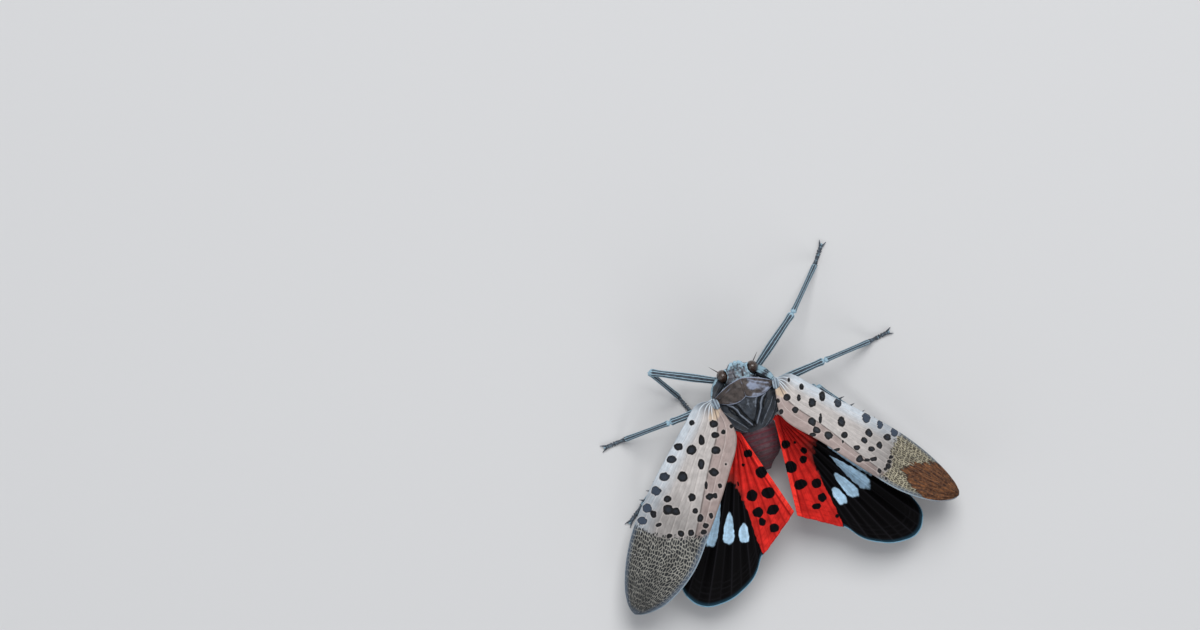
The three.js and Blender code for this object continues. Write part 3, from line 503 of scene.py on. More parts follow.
def quads_between(rows, columns, wrap):
    """Four corners for each cell of a grid, and with wrap also from the last column to the first."""
    i = np.arange(rows - 1)[:, None]
    j = np.arange(columns if wrap else columns - 1)[None, :]
    right = (j + 1) % columns
    corners = [i * columns + j, i * columns + right, (i + 1) * columns + right, (i + 1) * columns + j]
    return np.stack(np.broadcast_arrays(*corners), -1).reshape(-1, 4)


def facing_out(part):
    """The part with its faces turned round if the volume that they enclose comes out negative."""
    points, quads, triangles = part["points"], part["quads"], part["triangles"]
    flat = np.concatenate([quads[:, [0, 1, 2]], quads[:, [0, 2, 3]], triangles])
    a, b, c = points[flat[:, 0]], points[flat[:, 1]], points[flat[:, 2]]
    if np.einsum("ij,ij->i", a, np.cross(b, c)).sum() < 0:
        part["quads"] = quads[:, ::-1]
        part["triangles"] = triangles[:, ::-1]
    return part


def by_point(values, rows, columns):
    """A mark as one row for each point of a grid, spread out where it is the same along a side."""
    values = np.asarray(values, float)
    if values.ndim == 3:
        return values.reshape(rows * columns, -1)
    return np.broadcast_to(values, (rows, columns)).ravel()


def sheet(upper, lower, **marks):
    """A closed sheet from an upper and a lower grid of points, joined round the rim. Both take the marks."""
    rows, columns = upper.shape[:2]
    count = rows * columns
    index = np.arange(count).reshape(rows, columns)
    rim = np.concatenate([index[0, :-1], index[:-1, -1], index[-1, :0:-1], index[:0:-1, 0]])
    next_on_rim = np.roll(rim, -1)
    faces = quads_between(rows, columns, False)
    sides = np.stack([rim, rim + count, next_on_rim + count, next_on_rim], -1)
    return facing_out(dict(
        points=np.concatenate([upper.reshape(-1, 3), lower.reshape(-1, 3)]),
        quads=np.concatenate([faces, faces[:, ::-1] + count, sides]),
        triangles=np.zeros((0, 3), int),
        marks={name: np.concatenate([by_point(mark, rows, columns)] * 2) for name, mark in marks.items()},
    ))


def tube(rings, **marks):
    """A closed tube from a grid of points, one row for each ring, with a fan of triangles over each end."""
    rows, columns = rings.shape[:2]
    count = rows * columns
    around = np.arange(columns)
    following = np.roll(around, -1)
    last = count - columns
    caps = [
        np.stack([following, around, np.full(columns, count)], -1),
        np.stack([last + around, last + following, np.full(columns, count + 1)], -1),
    ]
    part = dict(
        points=np.concatenate([rings.reshape(-1, 3), [rings[0].mean(0)], [rings[-1].mean(0)]]),
        quads=quads_between(rows, columns, True),
        triangles=np.concatenate(caps),
        marks={},
    )
    for name, values in marks.items():
        flat = by_point(values, rows, columns)
        part["marks"][name] = np.concatenate([flat, [flat[:columns].mean(), flat[last:].mean()]])
    return facing_out(part)


def place(points):
    """Insect-frame millimetres to metres in the shared frame."""
    return (points + ORIGIN) * MM


def joined_mesh(name, parts):
    """One mesh from one or more parts, smooth, with their marks as attributes of its points."""
    offsets = np.cumsum([0] + [len(part["points"]) for part in parts[:-1]])
    points = place(np.concatenate([part["points"] for part in parts]))
    quads = np.concatenate([part["quads"] + offset for part, offset in zip(parts, offsets)])
    triangles = np.concatenate([part["triangles"] + offset for part, offset in zip(parts, offsets)])
    mesh = bpy.data.meshes.new(name)
    mesh.vertices.add(len(points))
    mesh.vertices.foreach_set("co", points.ravel())
    mesh.loops.add(quads.size + triangles.size)
    mesh.loops.foreach_set("vertex_index", np.concatenate([quads.ravel(), triangles.ravel()]))
    corners = np.repeat([4, 3], [len(quads), len(triangles)])
    mesh.polygons.add(len(corners))
    mesh.polygons.foreach_set("loop_start", np.cumsum(corners) - corners)
    mesh.polygons.foreach_set("use_smooth", np.ones(len(corners), bool))
    for mark in parts[0]["marks"]:
        values = np.concatenate([part["marks"][mark] for part in parts])
        if values.ndim == 1:
            mesh.attributes.new(mark, "FLOAT", "POINT").data.foreach_set("value", values.astype(np.float32))
        else:
            colours = np.concatenate([values, np.ones((len(values), 1))], 1).astype(np.float32)
            mesh.attributes.new(mark, "FLOAT_COLOR", "POINT").data.foreach_set("color", colours.ravel())
    mesh.update(calc_edges=True)
    mesh.validate()
    return mesh


def make_piece(name, parts, material, replaced):
    """One object from one or more parts, put in at the origin, riding on the body in place of its solids."""
    mesh = joined_mesh(name, parts)
    mesh.materials.append(material)
    piece = bpy.data.objects.new(name, mesh)
    bpy.context.scene.collection.objects.link(piece)
    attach(piece, "root")
    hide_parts(*replaced)


# Shapes that several pieces share


def raised(points, height):
    """The points, moved up."""
    return points + height[..., None] * np.array([0.0, 0.0, 1.0])


def ball(centre, radii, around, down, relief=None):
    """An ellipsoid as rings from pole to pole, closed by a small ring at each, with an optional relief that
    takes the two angles and gives a share of the radius to add."""
    fall = np.linspace(0.03, np.pi - 0.03, down)[:, None]
    turn = circle(around)[None, :]
    swell = 1 + (relief(turn, fall) if relief else 0 * turn * fall)
    unit = np.stack(
        [np.sin(fall) * np.cos(turn), np.sin(fall) * np.sin(turn), np.cos(fall) * np.ones_like(turn)], -1
    )
    return np.asarray(centre) + unit * np.asarray(radii) * swell[..., None]


def level_rings(y, stations, around, squareness):
    """Level rings along Y. Each station gives the centre's height, half the width, and the heights above and
    below, and each ring is a rounded square: powers of the sine and cosine a little under one."""
    z, half, up, down = [stations[:, k, None] for k in range(4)]
    turn = circle(around)[None, :] - np.pi / 2
    across, height = [
        np.sign(wave) * np.abs(wave) ** squareness for wave in (np.cos(turn), np.sin(turn))
    ]
    depth = np.where(height > 0, up, down)
    return np.stack([across * half, y[:, None] + 0 * across, z + height * depth], -1)


def carried(path, radii, sides, ridges=0, ridge_height=0.0, flatten=1.0):
    """A round or ridged section carried along a path. Its side and top directions come from the path and
    the vertical. The radius follows a wave round the section, the cube of a cosine cut off at zero, with one
    crest for each ridge. Returns the rings and that wave."""
    path = np.asarray(path, float)
    forward = np.gradient(path, axis=0)
    forward /= np.linalg.norm(forward, axis=1, keepdims=True)
    side = np.cross([0.0, 0.0, 1.0], forward)
    side /= np.maximum(np.linalg.norm(side, axis=1, keepdims=True), 1e-9)
    top = np.cross(forward, side)
    turn = circle(sides)
    crest = np.maximum(np.cos(ridges * turn), 0) ** 3 if ridges else np.zeros(sides)
    reach = np.asarray(radii)[:, None] * (1 + ridge_height * (crest - 0.3))[None, :]
    rings = (
        path[:, None]
        + side[:, None] * (np.cos(turn) * reach * flatten)[..., None]
        + top[:, None] * (np.sin(turn) * reach)[..., None]
    )
    return rings, np.broadcast_to(crest, reach.shape)


def limb(start, end, radius_knots, steps, sides, bow=0.0, **section):
    """One straight or slightly bowed stretch. radius_knots give the radius along it, and the ends close as
    quarter circles. Returns the rings, the wave of the ridges and the share of the length."""
    start, end = np.asarray(start, float), np.asarray(end, float)
    s = (1 - np.cos(np.linspace(0, np.pi, steps))) / 2
    radii = curve_through(radius_knots, s)
    for inside in (s, 1 - s):
        past_cap = np.clip(inside * np.linalg.norm(end - start) / curve_through(radius_knots, s), 0, 1)
        radii = radii * np.sqrt(1 - (1 - past_cap) ** 2)
    path = start + (end - start) * s[:, None]
    path[:, 2] += bow * np.sin(np.pi * s)
    rings, crest = carried(path, np.maximum(radii, 0.012), sides, **section)
    return rings, crest, np.broadcast_to(s[:, None], crest.shape)


# Materials


class Finish:
    """A material's node tree, with one short method for each kind of node that the finishes use."""

    def __init__(self, name):
        self.material = bpy.data.materials.new(name)
        self.material.use_nodes = True
        self.tree = self.material.node_tree
        self.shader = self.tree.nodes["Principled BSDF"]

    def plug(self, socket, value):
        """Another node's output, a number or a colour into a socket."""
        if isinstance(value, bpy.types.NodeSocket):
            self.tree.links.new(value, socket)
        else:
            socket.default_value = (*value, 1.0) if socket.type == "RGBA" else value

    def node(self, kind, inputs, **settings):
        """A node with its settings and inputs."""
        made = self.tree.nodes.new(kind)
        for name, value in settings.items():
            setattr(made, name, value)
        for key, value in inputs.items():
            self.plug(made.inputs[key], value)
        return made

    def mark(self, name, output="Fac"):
        """A number that the mesh carries at each point, or with output Color a colour."""
        return self.node("ShaderNodeAttribute", {}, attribute_name=name).outputs[output]

    def texture(self, kind, inputs, output, size_mm):
        """A texture in Object coordinates whose features are about size_mm wide."""
        place_at = self.node("ShaderNodeTexCoord", {}).outputs["Object"]
        return self.node(kind, {"Vector": place_at, "Scale": 1 / (size_mm * MM), **inputs}).outputs[output]

    def noise(self, size_mm, detail):
        """Cloudy noise."""
        return self.texture("ShaderNodeTexNoise", {"Detail": detail}, "Fac", size_mm)

    def facets(self, size_mm, randomness):
        """Distance to the nearest of many scattered points."""
        return self.texture("ShaderNodeTexVoronoi", {"Randomness": randomness}, "Distance", size_mm)

    def math(self, operation, *values):
        """One sum."""
        return self.node("ShaderNodeMath", dict(enumerate(values)), operation=operation).outputs[0]

    def times(self, first, second):
        """A product."""
        return self.math("MULTIPLY", first, second)

    def wobble(self, size_mm, amount, detail=3.0):
        """Cloudy noise with zero in its middle."""
        return self.math("MULTIPLY_ADD", self.noise(size_mm, detail), amount, -amount / 2)

    def step(self, value, low, high):
        """0 at low and 1 at high, with a smooth rise or fall between them."""
        inputs = {"Value": value, "From Min": low, "From Max": high}
        return self.node("ShaderNodeMapRange", inputs, interpolation_type="SMOOTHSTEP").outputs["Result"]

    def over(self, under, tint, share, strength=1.0):
        """A tint laid over a colour by a share."""
        amount = share if strength == 1.0 else self.times(share, strength)
        return self.node("ShaderNodeMix", {0: amount, 6: under, 7: tint}, data_type="RGBA").outputs[2]

    def shade(self, colour, low, high, size_mm):
        """The colour, darker and lighter in cloudy patches."""
        cloud = self.step(self.noise(size_mm, 4.0), 0.3, 0.7)
        span = {"Value": cloud, "To Min": low, "To Max": high}
        bright = self.node("ShaderNodeMapRange", span).outputs["Result"]
        return self.node("ShaderNodeVectorMath", {0: colour, "Scale": bright}, operation="SCALE").outputs[0]

    def on_wing(self, along, stretch, lane, widen):
        """A place on the forewing as a vector: distance along and across it, each with its own scale."""
        inputs = {0: self.times(along, stretch), 1: self.times(lane, widen)}
        return self.node("ShaderNodeCombineXYZ", inputs).outputs[0]

    def bump(self, height, depth_mm):
        """Fine relief in the shader, for grain too small for the mesh."""
        made = self.node("ShaderNodeBump", {"Height": height, "Strength": 1.0, "Distance": depth_mm * MM})
        self.plug(self.shader.inputs["Normal"], made.outputs["Normal"])

    def done(self, colour, roughness, specular, coat=0.0):
        """Colour and gloss on the shader."""
        gloss = {
            "Base Color": colour, "Roughness": roughness, "Specular IOR Level": specular,
            "Coat Weight": coat, "Coat Roughness": 0.2,
        }
        for name, value in gloss.items():
            self.plug(self.shader.inputs[name], value)
        return self.material


def forewing_net(finish, sizes, along, lane):
    """The net, 1 on its veins and 0 in its cells, from the distance to the edge of uneven cells. Noise bends
    the places, so that the veins waver."""
    bent = finish.node(
        "ShaderNodeVectorMath", {0: finish.on_wing(along, 0.8, lane, 1.3), 1: finish.wobble(0.9, 0.5)},
        operation="ADD",
    ).outputs[0]
    cells = finish.node(
        "ShaderNodeTexVoronoi", {"Vector": bent, "Scale": MM / sizes.net_cell, "Randomness": 0.7},
        feature="DISTANCE_TO_EDGE", voronoi_dimensions="2D",
    ).outputs["Distance"]
    return finish.step(cells, 0.19, 0.08)


def forewing_ground(finish, along, lane, fine):
    """Waxy ground in the mesh's tint, with fine lines, cream veins and a brown seam, and at the front of the
    root slate with pale ridges."""
    vein = finish.mark("vein")
    ground = finish.shade(finish.mark("tint", "Color"), 0.86, 1.07, 0.6)
    ground = finish.over(ground, FINE_LINE, fine, 0.15)
    ground = finish.over(ground, VEIN_CREAM, finish.step(vein, 0.3, 0.9), 0.22)
    ground = finish.over(ground, SEAM_BROWN, finish.mark("seam"), 0.9)
    streaked = finish.over(ROOT_SLATE, ROOT_WHITE, finish.step(vein, 0.2, 0.6))
    root_zone = finish.times(finish.step(along, 1.7, 0.5), finish.step(lane, 3.4, 4.2))
    return finish.over(ground, streaked, root_zone, 0.7)


def forewing_tip(finish, colours, side, along, net):
    """The tip's net over its cells. On the left wing the cells' tint dulls it towards the very tip."""
    cell_tint = getattr(colours, f"cell_{side}")
    netted = finish.shade(finish.over(cell_tint, getattr(colours, f"net_{side}"), net), 0.7, 1.2, 1.2)
    if side == "left":
        netted = finish.over(netted, cell_tint, finish.step(along, 15.5, 20.5), 0.4)
    return netted


def forewing_stained(finish, colours, skin, along, lane, net):
    """The rust stain over the skin. Noise drawn out along the wing pushes its border to and fro, so that it
    breaks up into long fingers with dark edges."""
    stain = finish.mark("stain")
    streaks = finish.node(
        "ShaderNodeTexNoise", {"Vector": finish.on_wing(along, 0.45, lane, 1.4), "Scale": 2.2, "Detail": 4.0}
    ).outputs["Fac"]
    near_border = finish.times(stain, finish.math("SUBTRACT", 1.0, stain))
    fingers = finish.math("MULTIPLY_ADD", streaks, 16.0, -8.0)
    stained = finish.math("MULTIPLY_ADD", fingers, near_border, stain)
    rust = finish.over(colours.stain, RUST, finish.step(streaks, 0.42, 0.62))
    rust = finish.shade(finish.over(rust, RUST_NET, net, 0.2), 0.5, 1.2, 0.3)
    rust = finish.over(rust, RUST_EDGE, finish.step(stained, 0.95, 0.5))
    return finish.over(skin, rust, finish.step(stained, 0.35, 0.55))


def forewing_spotted(finish, colours, skin):
    """The spots over the skin: black or slate, darkest near the edge, greyer in the middle, with a faint
    pale halo."""
    depth = finish.math("ADD", finish.mark("spot"), finish.wobble(0.55, 0.34, 1.0))
    spot = finish.over(colours.spot, colours.slate_spot, finish.mark("slate"))
    spot = finish.over(spot, SPOT_CENTRE, finish.step(depth, -0.12, -0.4), 0.3)
    spot = finish.over(spot, colours.spot, finish.step(depth, -0.14, -0.02), 0.7)
    skin = finish.over(skin, SPOT_HALO, finish.step(depth, 0.2, 0.05), 0.2)
    return finish.over(skin, spot, finish.step(depth, 0.03, -0.03))


def forewing_finish(colours, sizes, side):
    """Waxy ground that gives way to the netted tip along a ragged border, then the stain that the right wing
    has, a thin rim and the spots. The net and the fine lines also stand out a little."""
    finish = Finish(f"forewing_{side}_finish")
    along, lane, apical, margin = [finish.mark(name) for name in ("along", "lane", "apical", "margin")]
    net = forewing_net(finish, sizes, along, lane)
    fine = finish.step(finish.math("PINGPONG", lane, 0.17), 0.035, 0.01)
    ragged = finish.math("ADD", apical, finish.wobble(0.3, 1.6))
    ragged = finish.math("MULTIPLY_ADD", net, -0.25, ragged)
    skin = forewing_ground(finish, along, lane, fine)
    skin = finish.over(skin, forewing_tip(finish, colours, side, along, net), finish.step(ragged, 0.3, 0.6))
    skin = finish.over(skin, TIP_EDGE, finish.times(finish.step(margin, 0.75, 0.1), apical), 0.7)
    skin = forewing_stained(finish, colours, skin, along, lane, net)
    front_or_tip = finish.math("MAXIMUM", finish.step(lane, 4.5, 6.0), apical)
    rim_tint = finish.over(RIM_BROWN, RIM_PALE, front_or_tip)
    skin = finish.over(skin, rim_tint, finish.step(margin, 0.12, 0.04), 0.6)
    skin = forewing_spotted(finish, colours, skin)
    grain = finish.math("MULTIPLY_ADD", finish.times(net, apical), 1.4, finish.noise(0.08, 2.0))
    finish.bump(finish.math("MULTIPLY_ADD", fine, 0.5, grain), 0.02)
    return finish.done(skin, 0.5, specular=0.3)


def hindwing_finish(colours):
    """Red field and black field with a ragged border, black spots, pale bars and a thin pale rim. The red
    has a painted highlight along the inner strip and painted shade in the groove beside it.
    """
    finish = Finish("hindwing_finish")
    vein, dark, rim = [finish.mark(name) for name in ("vein", "dark", "rim")]
    wobble = finish.wobble(0.6, 0.3, 1.0)
    # painted highlight along the inner strip
    red = finish.shade(finish.over(colours.red, RED_STRIP_HIGHLIGHT, finish.mark("strip")), 0.72, 1.15, 0.8)
    # painted shade in the groove beside the inner strip
    red = finish.over(red, RED_GROOVE_SHADE, finish.mark("groove"), 0.75)
    red = finish.over(red, RED_VEIN, vein, 0.7)
    border = finish.math("MULTIPLY_ADD", wobble, 3.0, dark)
    red = finish.over(red, DUSK, finish.times(finish.step(border, -0.9, -0.1), finish.mark("dusk")), 0.7)
    black = finish.over(colours.black, BLACK_VEIN, vein, 0.6)
    skin = finish.over(red, black, finish.step(border, -0.12, 0.12))
    bars = finish.math("ADD", finish.mark("bar"), wobble)
    skin = finish.over(skin, finish.shade(colours.pale_bar, 0.8, 1.1, 0.4), finish.step(bars, 0.05, -0.06))
    spots = finish.math("ADD", finish.mark("spot"), wobble)
    skin = finish.over(skin, colours.spot, finish.step(spots, 0.03, -0.03))
    in_black = finish.step(dark, 0.0, 0.4)
    skin = finish.over(skin, HIND_GLOW, finish.times(finish.step(rim, 0.55, 0.08), in_black), 0.45)
    skin = finish.over(skin, HIND_RIM, finish.times(finish.step(rim, 0.13, 0.05), in_black), 0.85)
    finish.bump(finish.noise(0.1, 2.0), 0.012)
    return finish.done(skin, 0.6, specular=0.06)


def plate_finish(name, base, wax, edges=0.85, cloud_mm=0.5, mottle=0.8):
    """A horny plate: cloudy base, paler wax on the keels and edges that the mesh marks, where some parts
    also mark painted highlights, painted shade near black in the grooves that it marks with numbers below
    zero, and fine pitting. The mottle breaks up the wax."""
    finish = Finish(name)
    wax_and_painted_light_mark = finish.mark("wax")
    skin = finish.shade(base, 0.6, 1.35, cloud_mm)
    # painted shade: near black where the mark falls below zero, in grooves and folds
    skin = finish.over(skin, PLATE_GROOVE_SHADE, finish.step(wax_and_painted_light_mark, -0.1, -0.7))
    # the wax colour also lays the painted highlights that some parts mark
    wax_and_highlight = finish.step(finish.math("ADD", wax_and_painted_light_mark, finish.wobble(0.22, mottle)), 0.3, 0.75)
    skin = finish.over(skin, wax, wax_and_highlight, edges)
    finish.bump(finish.noise(0.07, 2.0), 0.02)
    return finish.done(skin, 0.5, specular=0.4)


def abdomen_finish(colours):
    """Mauve bands with maroon seams between them, and the first band paler."""
    finish = Finish("abdomen_finish")
    bands = finish.shade(finish.over(colours.mauve, PALE_FRONT_TINT, finish.mark("bloom")), 0.6, 1.3, 0.35)
    seams = finish.math("ADD", finish.mark("seam"), finish.wobble(0.2, 0.5))
    finish.bump(finish.noise(0.08, 2.0), 0.02)
    skin = finish.over(bands, colours.maroon, finish.step(seams, 0.35, 0.7))
    return finish.done(skin, 0.48, specular=0.4)


def eye_finish(colours):
    """Dark gloss with rows of fine facets and a paler lower band."""
    finish = Finish("eye_finish")
    skin = finish.shade(finish.over(colours.eye, EYE_BAND, finish.mark("wax")), 0.8, 1.2, 0.4)
    finish.bump(finish.math("SUBTRACT", 1.0, finish.facets(0.045, 0.25)), 0.012)
    return finish.done(skin, 0.22, specular=0.6, coat=0.3)


def antenna_finish(colours):
    """Glossy orange bulb with darker pits, and a dark bristle."""
    finish = Finish("antenna_finish")
    pits = finish.facets(0.11, 1.0)
    orange = finish.over(colours.orange, BULB_PITS, finish.step(pits, 0.3, 0.05))
    finish.bump(pits, 0.02)
    return finish.done(finish.over(orange, BRISTLE, finish.mark("dark")), 0.32, specular=0.5, coat=0.15)


# Wings


def wing_axes(wing, roll):
    """For each roll, the directions along the wing, across it towards the front margin, and out of its upper
    face."""
    azimuth, pitch = np.radians(wing["azimuth"]), np.radians(wing["pitch"])
    along = np.array([np.sin(azimuth) * np.cos(pitch), np.cos(azimuth) * np.cos(pitch), -np.sin(pitch)])
    level = np.array([np.cos(azimuth), -np.sin(azimuth), 0])
    up = np.cross(level, along)
    cosine, sine = np.cos(roll)[..., None], np.sin(roll)[..., None]
    axes = along, level * cosine - up * sine, up * cosine + level * sine
    return [on_side(axis, wing["side"]) for axis in axes]


def vein_share(vein, along):
    """Share of the chord that a vein holds at a distance along the wing, easing from root to tip share."""
    root, tip = vein
    return root + (tip - root) * smooth(along, 0.5, SEAM_END + 2)


def forewing_tint(colours, wing, along, across, share):
    """Ground colour by place: inner field, middle and pale front strip, and cream round the hinge, with
    painted shade that darkens it towards the tip.
    """
    middle, front, inner, hinge = [
        np.array(tint[:]) for tint in (colours.forewing, colours.costal, colours.inner_field, colours.hinge)
    ]
    out = np.hypot((along - wing["patch"][0]) / 0.75, (across - wing["patch"][1]) / 0.5)
    in_field = smooth(vein_share(LONG_VEINS[INNER_SEAM], along) - share, -0.02, 0.03)[..., None]
    tint = middle + (inner - middle) * in_field
    tint = tint + (front - tint) * smooth(share, 0.62, 0.92)[..., None]
    tint = tint + (hinge - tint) * smooth(1.3 - out, 0, 0.5)[..., None]
    # painted shade: the ground darkens towards the tip, where shade falls on the wing
    start, end, most = wing["painted_tip_shade"]
    return tint * (1 - most * smooth(along, start, end))[..., None]


def forewing_spots(side, along, across):
    """Distance to the nearest spot's edge, below zero inside it, and how slate that spot is. Each spot is an
    ellipse with its own lean, and those of the front strip are slate."""
    spot, slate = np.full_like(across, NONE_NEAR), np.zeros_like(across)
    for a, c, half_length, half_width, turn in FOREWING_SPOTS[side]:
        lean = np.radians(turn)
        x = (along - a) * np.cos(lean) + (across - c) * np.sin(lean)
        y = -(along - a) * np.sin(lean) + (across - c) * np.cos(lean)
        far = (np.hypot(x / half_length, y / half_width) - 1) * np.sqrt(half_length * half_width)
        slate = np.where(far < spot, smooth(c, 2.0, 2.9), slate)
        spot = np.minimum(spot, far)
    return spot, slate


def forewing_veins(along, share, chord):
    """Height of the long veins, 0 to 1, and of a low swell between them: bell curves and dying cosines of
    the distance to each. Every second one but the inner seam is fainter and begins further out."""
    vein, swell = 0.0, 0.0
    for k, numbers in enumerate(LONG_VEINS):
        far = np.abs(share - vein_share(numbers, along)) * chord
        strength = 1.0 if k % 2 == 0 or k == INNER_SEAM else 0.65 * smooth(along, 5, 8)
        vein = np.maximum(vein, strength * bell(far, VEIN_WIDTH))
        swell = swell + 0.02 * np.cos(far * 2.4) * np.exp(-far)
    return vein, swell


def forewing_part(side, sizes, colours):
    """The forewing. Rows run along the wing, closer in its tip, and columns across it, from trailing to
    front margin. A point is the root plus its distance along, plus its distance across, less the camber, a
    parabola of the distance across. Veins and swell lift both faces, and the wing thins to its rim."""
    wing = FOREWINGS[side]
    t = np.linspace(0, 1, WING_ROWS)[:, None]
    along = np.interp(t, [0, ROWS_BEFORE_NET, 1], [WING_BASE, NET_START, WING_TIP])
    share = -np.cos(np.linspace(0.25, np.pi - 0.25, WING_COLUMNS))[None, :]
    share = (share - share.min()) / np.ptp(share)
    trailing = curve_through(TRAILING_MARGIN, along)
    chord = curve_through(COSTAL_MARGIN, along) - trailing
    across = trailing + chord * share
    roll = wing["root_roll"] + (wing["roll"] - wing["root_roll"]) * smooth(along, 0, 7)
    forward, sideways, normal = wing_axes(wing, np.radians(roll))
    sink = wing["camber"] * (across / (WING_CHORD / 2)) ** 2
    middle = on_side(wing["root"], wing["side"]) + forward * (along * wing["stretch"])[..., None]
    middle = middle + sideways * across[..., None] - normal * sink[..., None]

    vein, swell = forewing_veins(along, share, chord)
    margin = np.minimum(np.minimum(share, 1 - share) * chord, (WING_TIP - along) * 0.9)
    vein = np.maximum(vein, 0.8 * bell(margin, VEIN_WIDTH))
    apical = smooth(along - curve_through(NET_BORDER[side], across), -0.7, 0.7)
    stain = smooth(along - curve_through(STAIN_BORDER, across), -0.8, 0.8) * (side == "right")
    seam = bell((share - vein_share(LONG_VEINS[INNER_SEAM], along)) * chord, SEAM_WIDTH)
    seam = seam * smooth(SEAM_END + 0.4 - along, 0, 1)
    spot, slate = forewing_spots(side, along, across)

    taper = smooth(margin, -0.02, 0.15)
    half = sizes.membrane / MM / 2 * (0.35 + 0.65 * taper)
    height = (sizes.vein / MM * vein + swell * (1 - apical) - 0.05 * seam) * taper
    return sheet(
        middle + normal * (half + height)[..., None], middle - normal * (half - height * 0.6)[..., None],
        vein=vein, apical=apical, margin=margin, spot=spot, slate=slate, stain=stain, seam=seam, along=along,
        lane=WING_CHORD * share + 0.25 * np.sin(along * 0.9),
        tint=forewing_tint(colours, wing, along, across, share),
    )


def hindwing_points(wing, share, reach):
    """Points of the fan, and their distance from the root, sideways and backwards. Angle and distance come
    from the share and the reach. The height falls away from the root, and rises and sinks with a cosine over
    the folds."""
    turn = np.radians(wing["opens"] + (wing["reaches"] - wing["opens"]) * share)
    far = reach * wing["length"] * curve_through(FAN_REACH, share)
    pleat = FOLD_DEPTH / 2 * np.cos(share / FAN_END * FAN_FOLDS * 2 * np.pi) * reach
    sideways, back = far * np.sin(turn), far * np.cos(turn)
    fall = back * np.tan(np.radians(wing["fall"])) + sideways * np.tan(np.radians(wing["tilt"]))
    x, y, z = wing["root"]
    points = np.stack([x + sideways, y + back, z - fall + pleat], -1)
    return on_side(points, wing["side"]), far, sideways, back


def hindwing_veins(share, reach, per_share, edge):
    """Height of the hindwing's veins, 0 to 1, bell curves of the distance to each: one on every fold, a
    fainter one between folds, cross veins near the rim, and one along the rim."""
    vein = 0.0
    for k in range(1, 2 * FAN_FOLDS):
        across = (share - FAN_END * k / (2 * FAN_FOLDS)) * per_share
        strength = 1.0 if k % 2 == 0 else 0.5 * smooth(reach, 0.25, 0.5)
        vein = np.maximum(vein, strength * bell(across, VEIN_WIDTH))
    cross = (edge / CROSS_VEIN_STEP + scatter(np.floor(share / FAN_END * 2 * FAN_FOLDS), 3.0)) % 1
    crossed = bell(np.minimum(cross, 1 - cross) * CROSS_VEIN_STEP, 0.05)
    crossed = crossed * smooth(CROSS_VEIN_ZONE - edge, 0, 0.6)
    return np.maximum(vein, np.maximum(0.6 * crossed, 0.7 * bell(edge, 0.06)))


def hindwing_spots(side, sideways, back):
    """Distance to the edge of the nearest spot, below zero inside it. Each spot is an ellipse."""
    spot = NONE_NEAR
    for x, y, half_x, half_y in HINDWING_SPOTS[side]:
        out = np.hypot((sideways - x) / half_x, (back - y) / half_y)
        spot = np.minimum(spot, (out - 1) * np.sqrt(half_x * half_y))
    return spot


def hindwing_bars(share, per_share, far):
    """Distance to the edge of the nearest pale bar, below zero inside it. Each bar is a rounded oblong that
    narrows towards the root."""
    bar = NONE_NEAR
    for at, distance, half_length, half_width, taper in PALE_BARS:
        lengthwise = (far - distance) / half_length
        width = half_width * (1 - taper + taper * np.clip(lengthwise, -1, 1))
        out = np.abs((share - at) * per_share / width) ** BAR_ROUNDNESS + np.abs(lengthwise) ** BAR_ROUNDNESS
        bar = np.minimum(bar, (out ** (1 / BAR_ROUNDNESS) - 1) * half_width)
    return bar


def hindwing_part(side, sizes):
    """The hindwing: a pleated fan, lifted by its veins and sunk along a groove near the edge next to the
    body. Its black field begins at a distance from the root that goes with the share of the fan."""
    wing = HINDWINGS[side]
    share = np.linspace(0, FAN_END, FAN_COLUMNS)[None, :]
    reach = (0.03 + 0.97 * np.linspace(0, 1, FAN_ROWS) ** 1.1)[:, None]
    points, far, sideways, back = hindwing_points(wing, share, reach)
    per_share = np.radians(wing["reaches"] - wing["opens"]) * far
    edge = wing["length"] * curve_through(FAN_REACH, share) - far
    vein = hindwing_veins(share, reach, per_share, edge)
    dark = np.where(share < RED_END, -1.0, (far - curve_through(BLACK_FROM, share)) * 0.5)
    from_inner_edge = share * per_share
    groove = bell(from_inner_edge - INNER_GROOVE, 0.08) * smooth(GROOVE_LENGTH - far, 0, 1.5)

    normal = normals_of(points)
    normal *= np.sign(normal[..., 2:3])
    half = sizes.membrane / MM / 2 * 0.8
    height = sizes.vein / MM * 0.7 * vein - 0.05 * groove
    return sheet(
        points + normal * (half + height)[..., None], points - normal * (half - height * 0.5)[..., None],
        vein=vein, dark=dark, spot=hindwing_spots(side, sideways, back), groove=groove, rim=edge,
        bar=hindwing_bars(share, per_share, far), strip=smooth(INNER_STRIP - from_inner_edge, 0, 0.08),
        dusk=smooth(share, 0.58, 0.75),
    )


def hindwing_root(wing):
    """The red stalk that carries the fan's point into the flank of the thorax."""
    inner = on_side(wing["root"], wing["side"] * 0.55) + [0, -0.5, -0.2]
    outer = hindwing_points(wing, np.array([0.5]), np.array([0.1]))[0][0]
    rings, _, _ = limb(inner, outer, STALK_RADII, steps=30, sides=24)
    return tube(
        rings, vein=0, groove=0, strip=0, dark=-1, spot=NONE_NEAR, bar=NONE_NEAR, rim=NONE_NEAR, dusk=0
    )


# Thorax


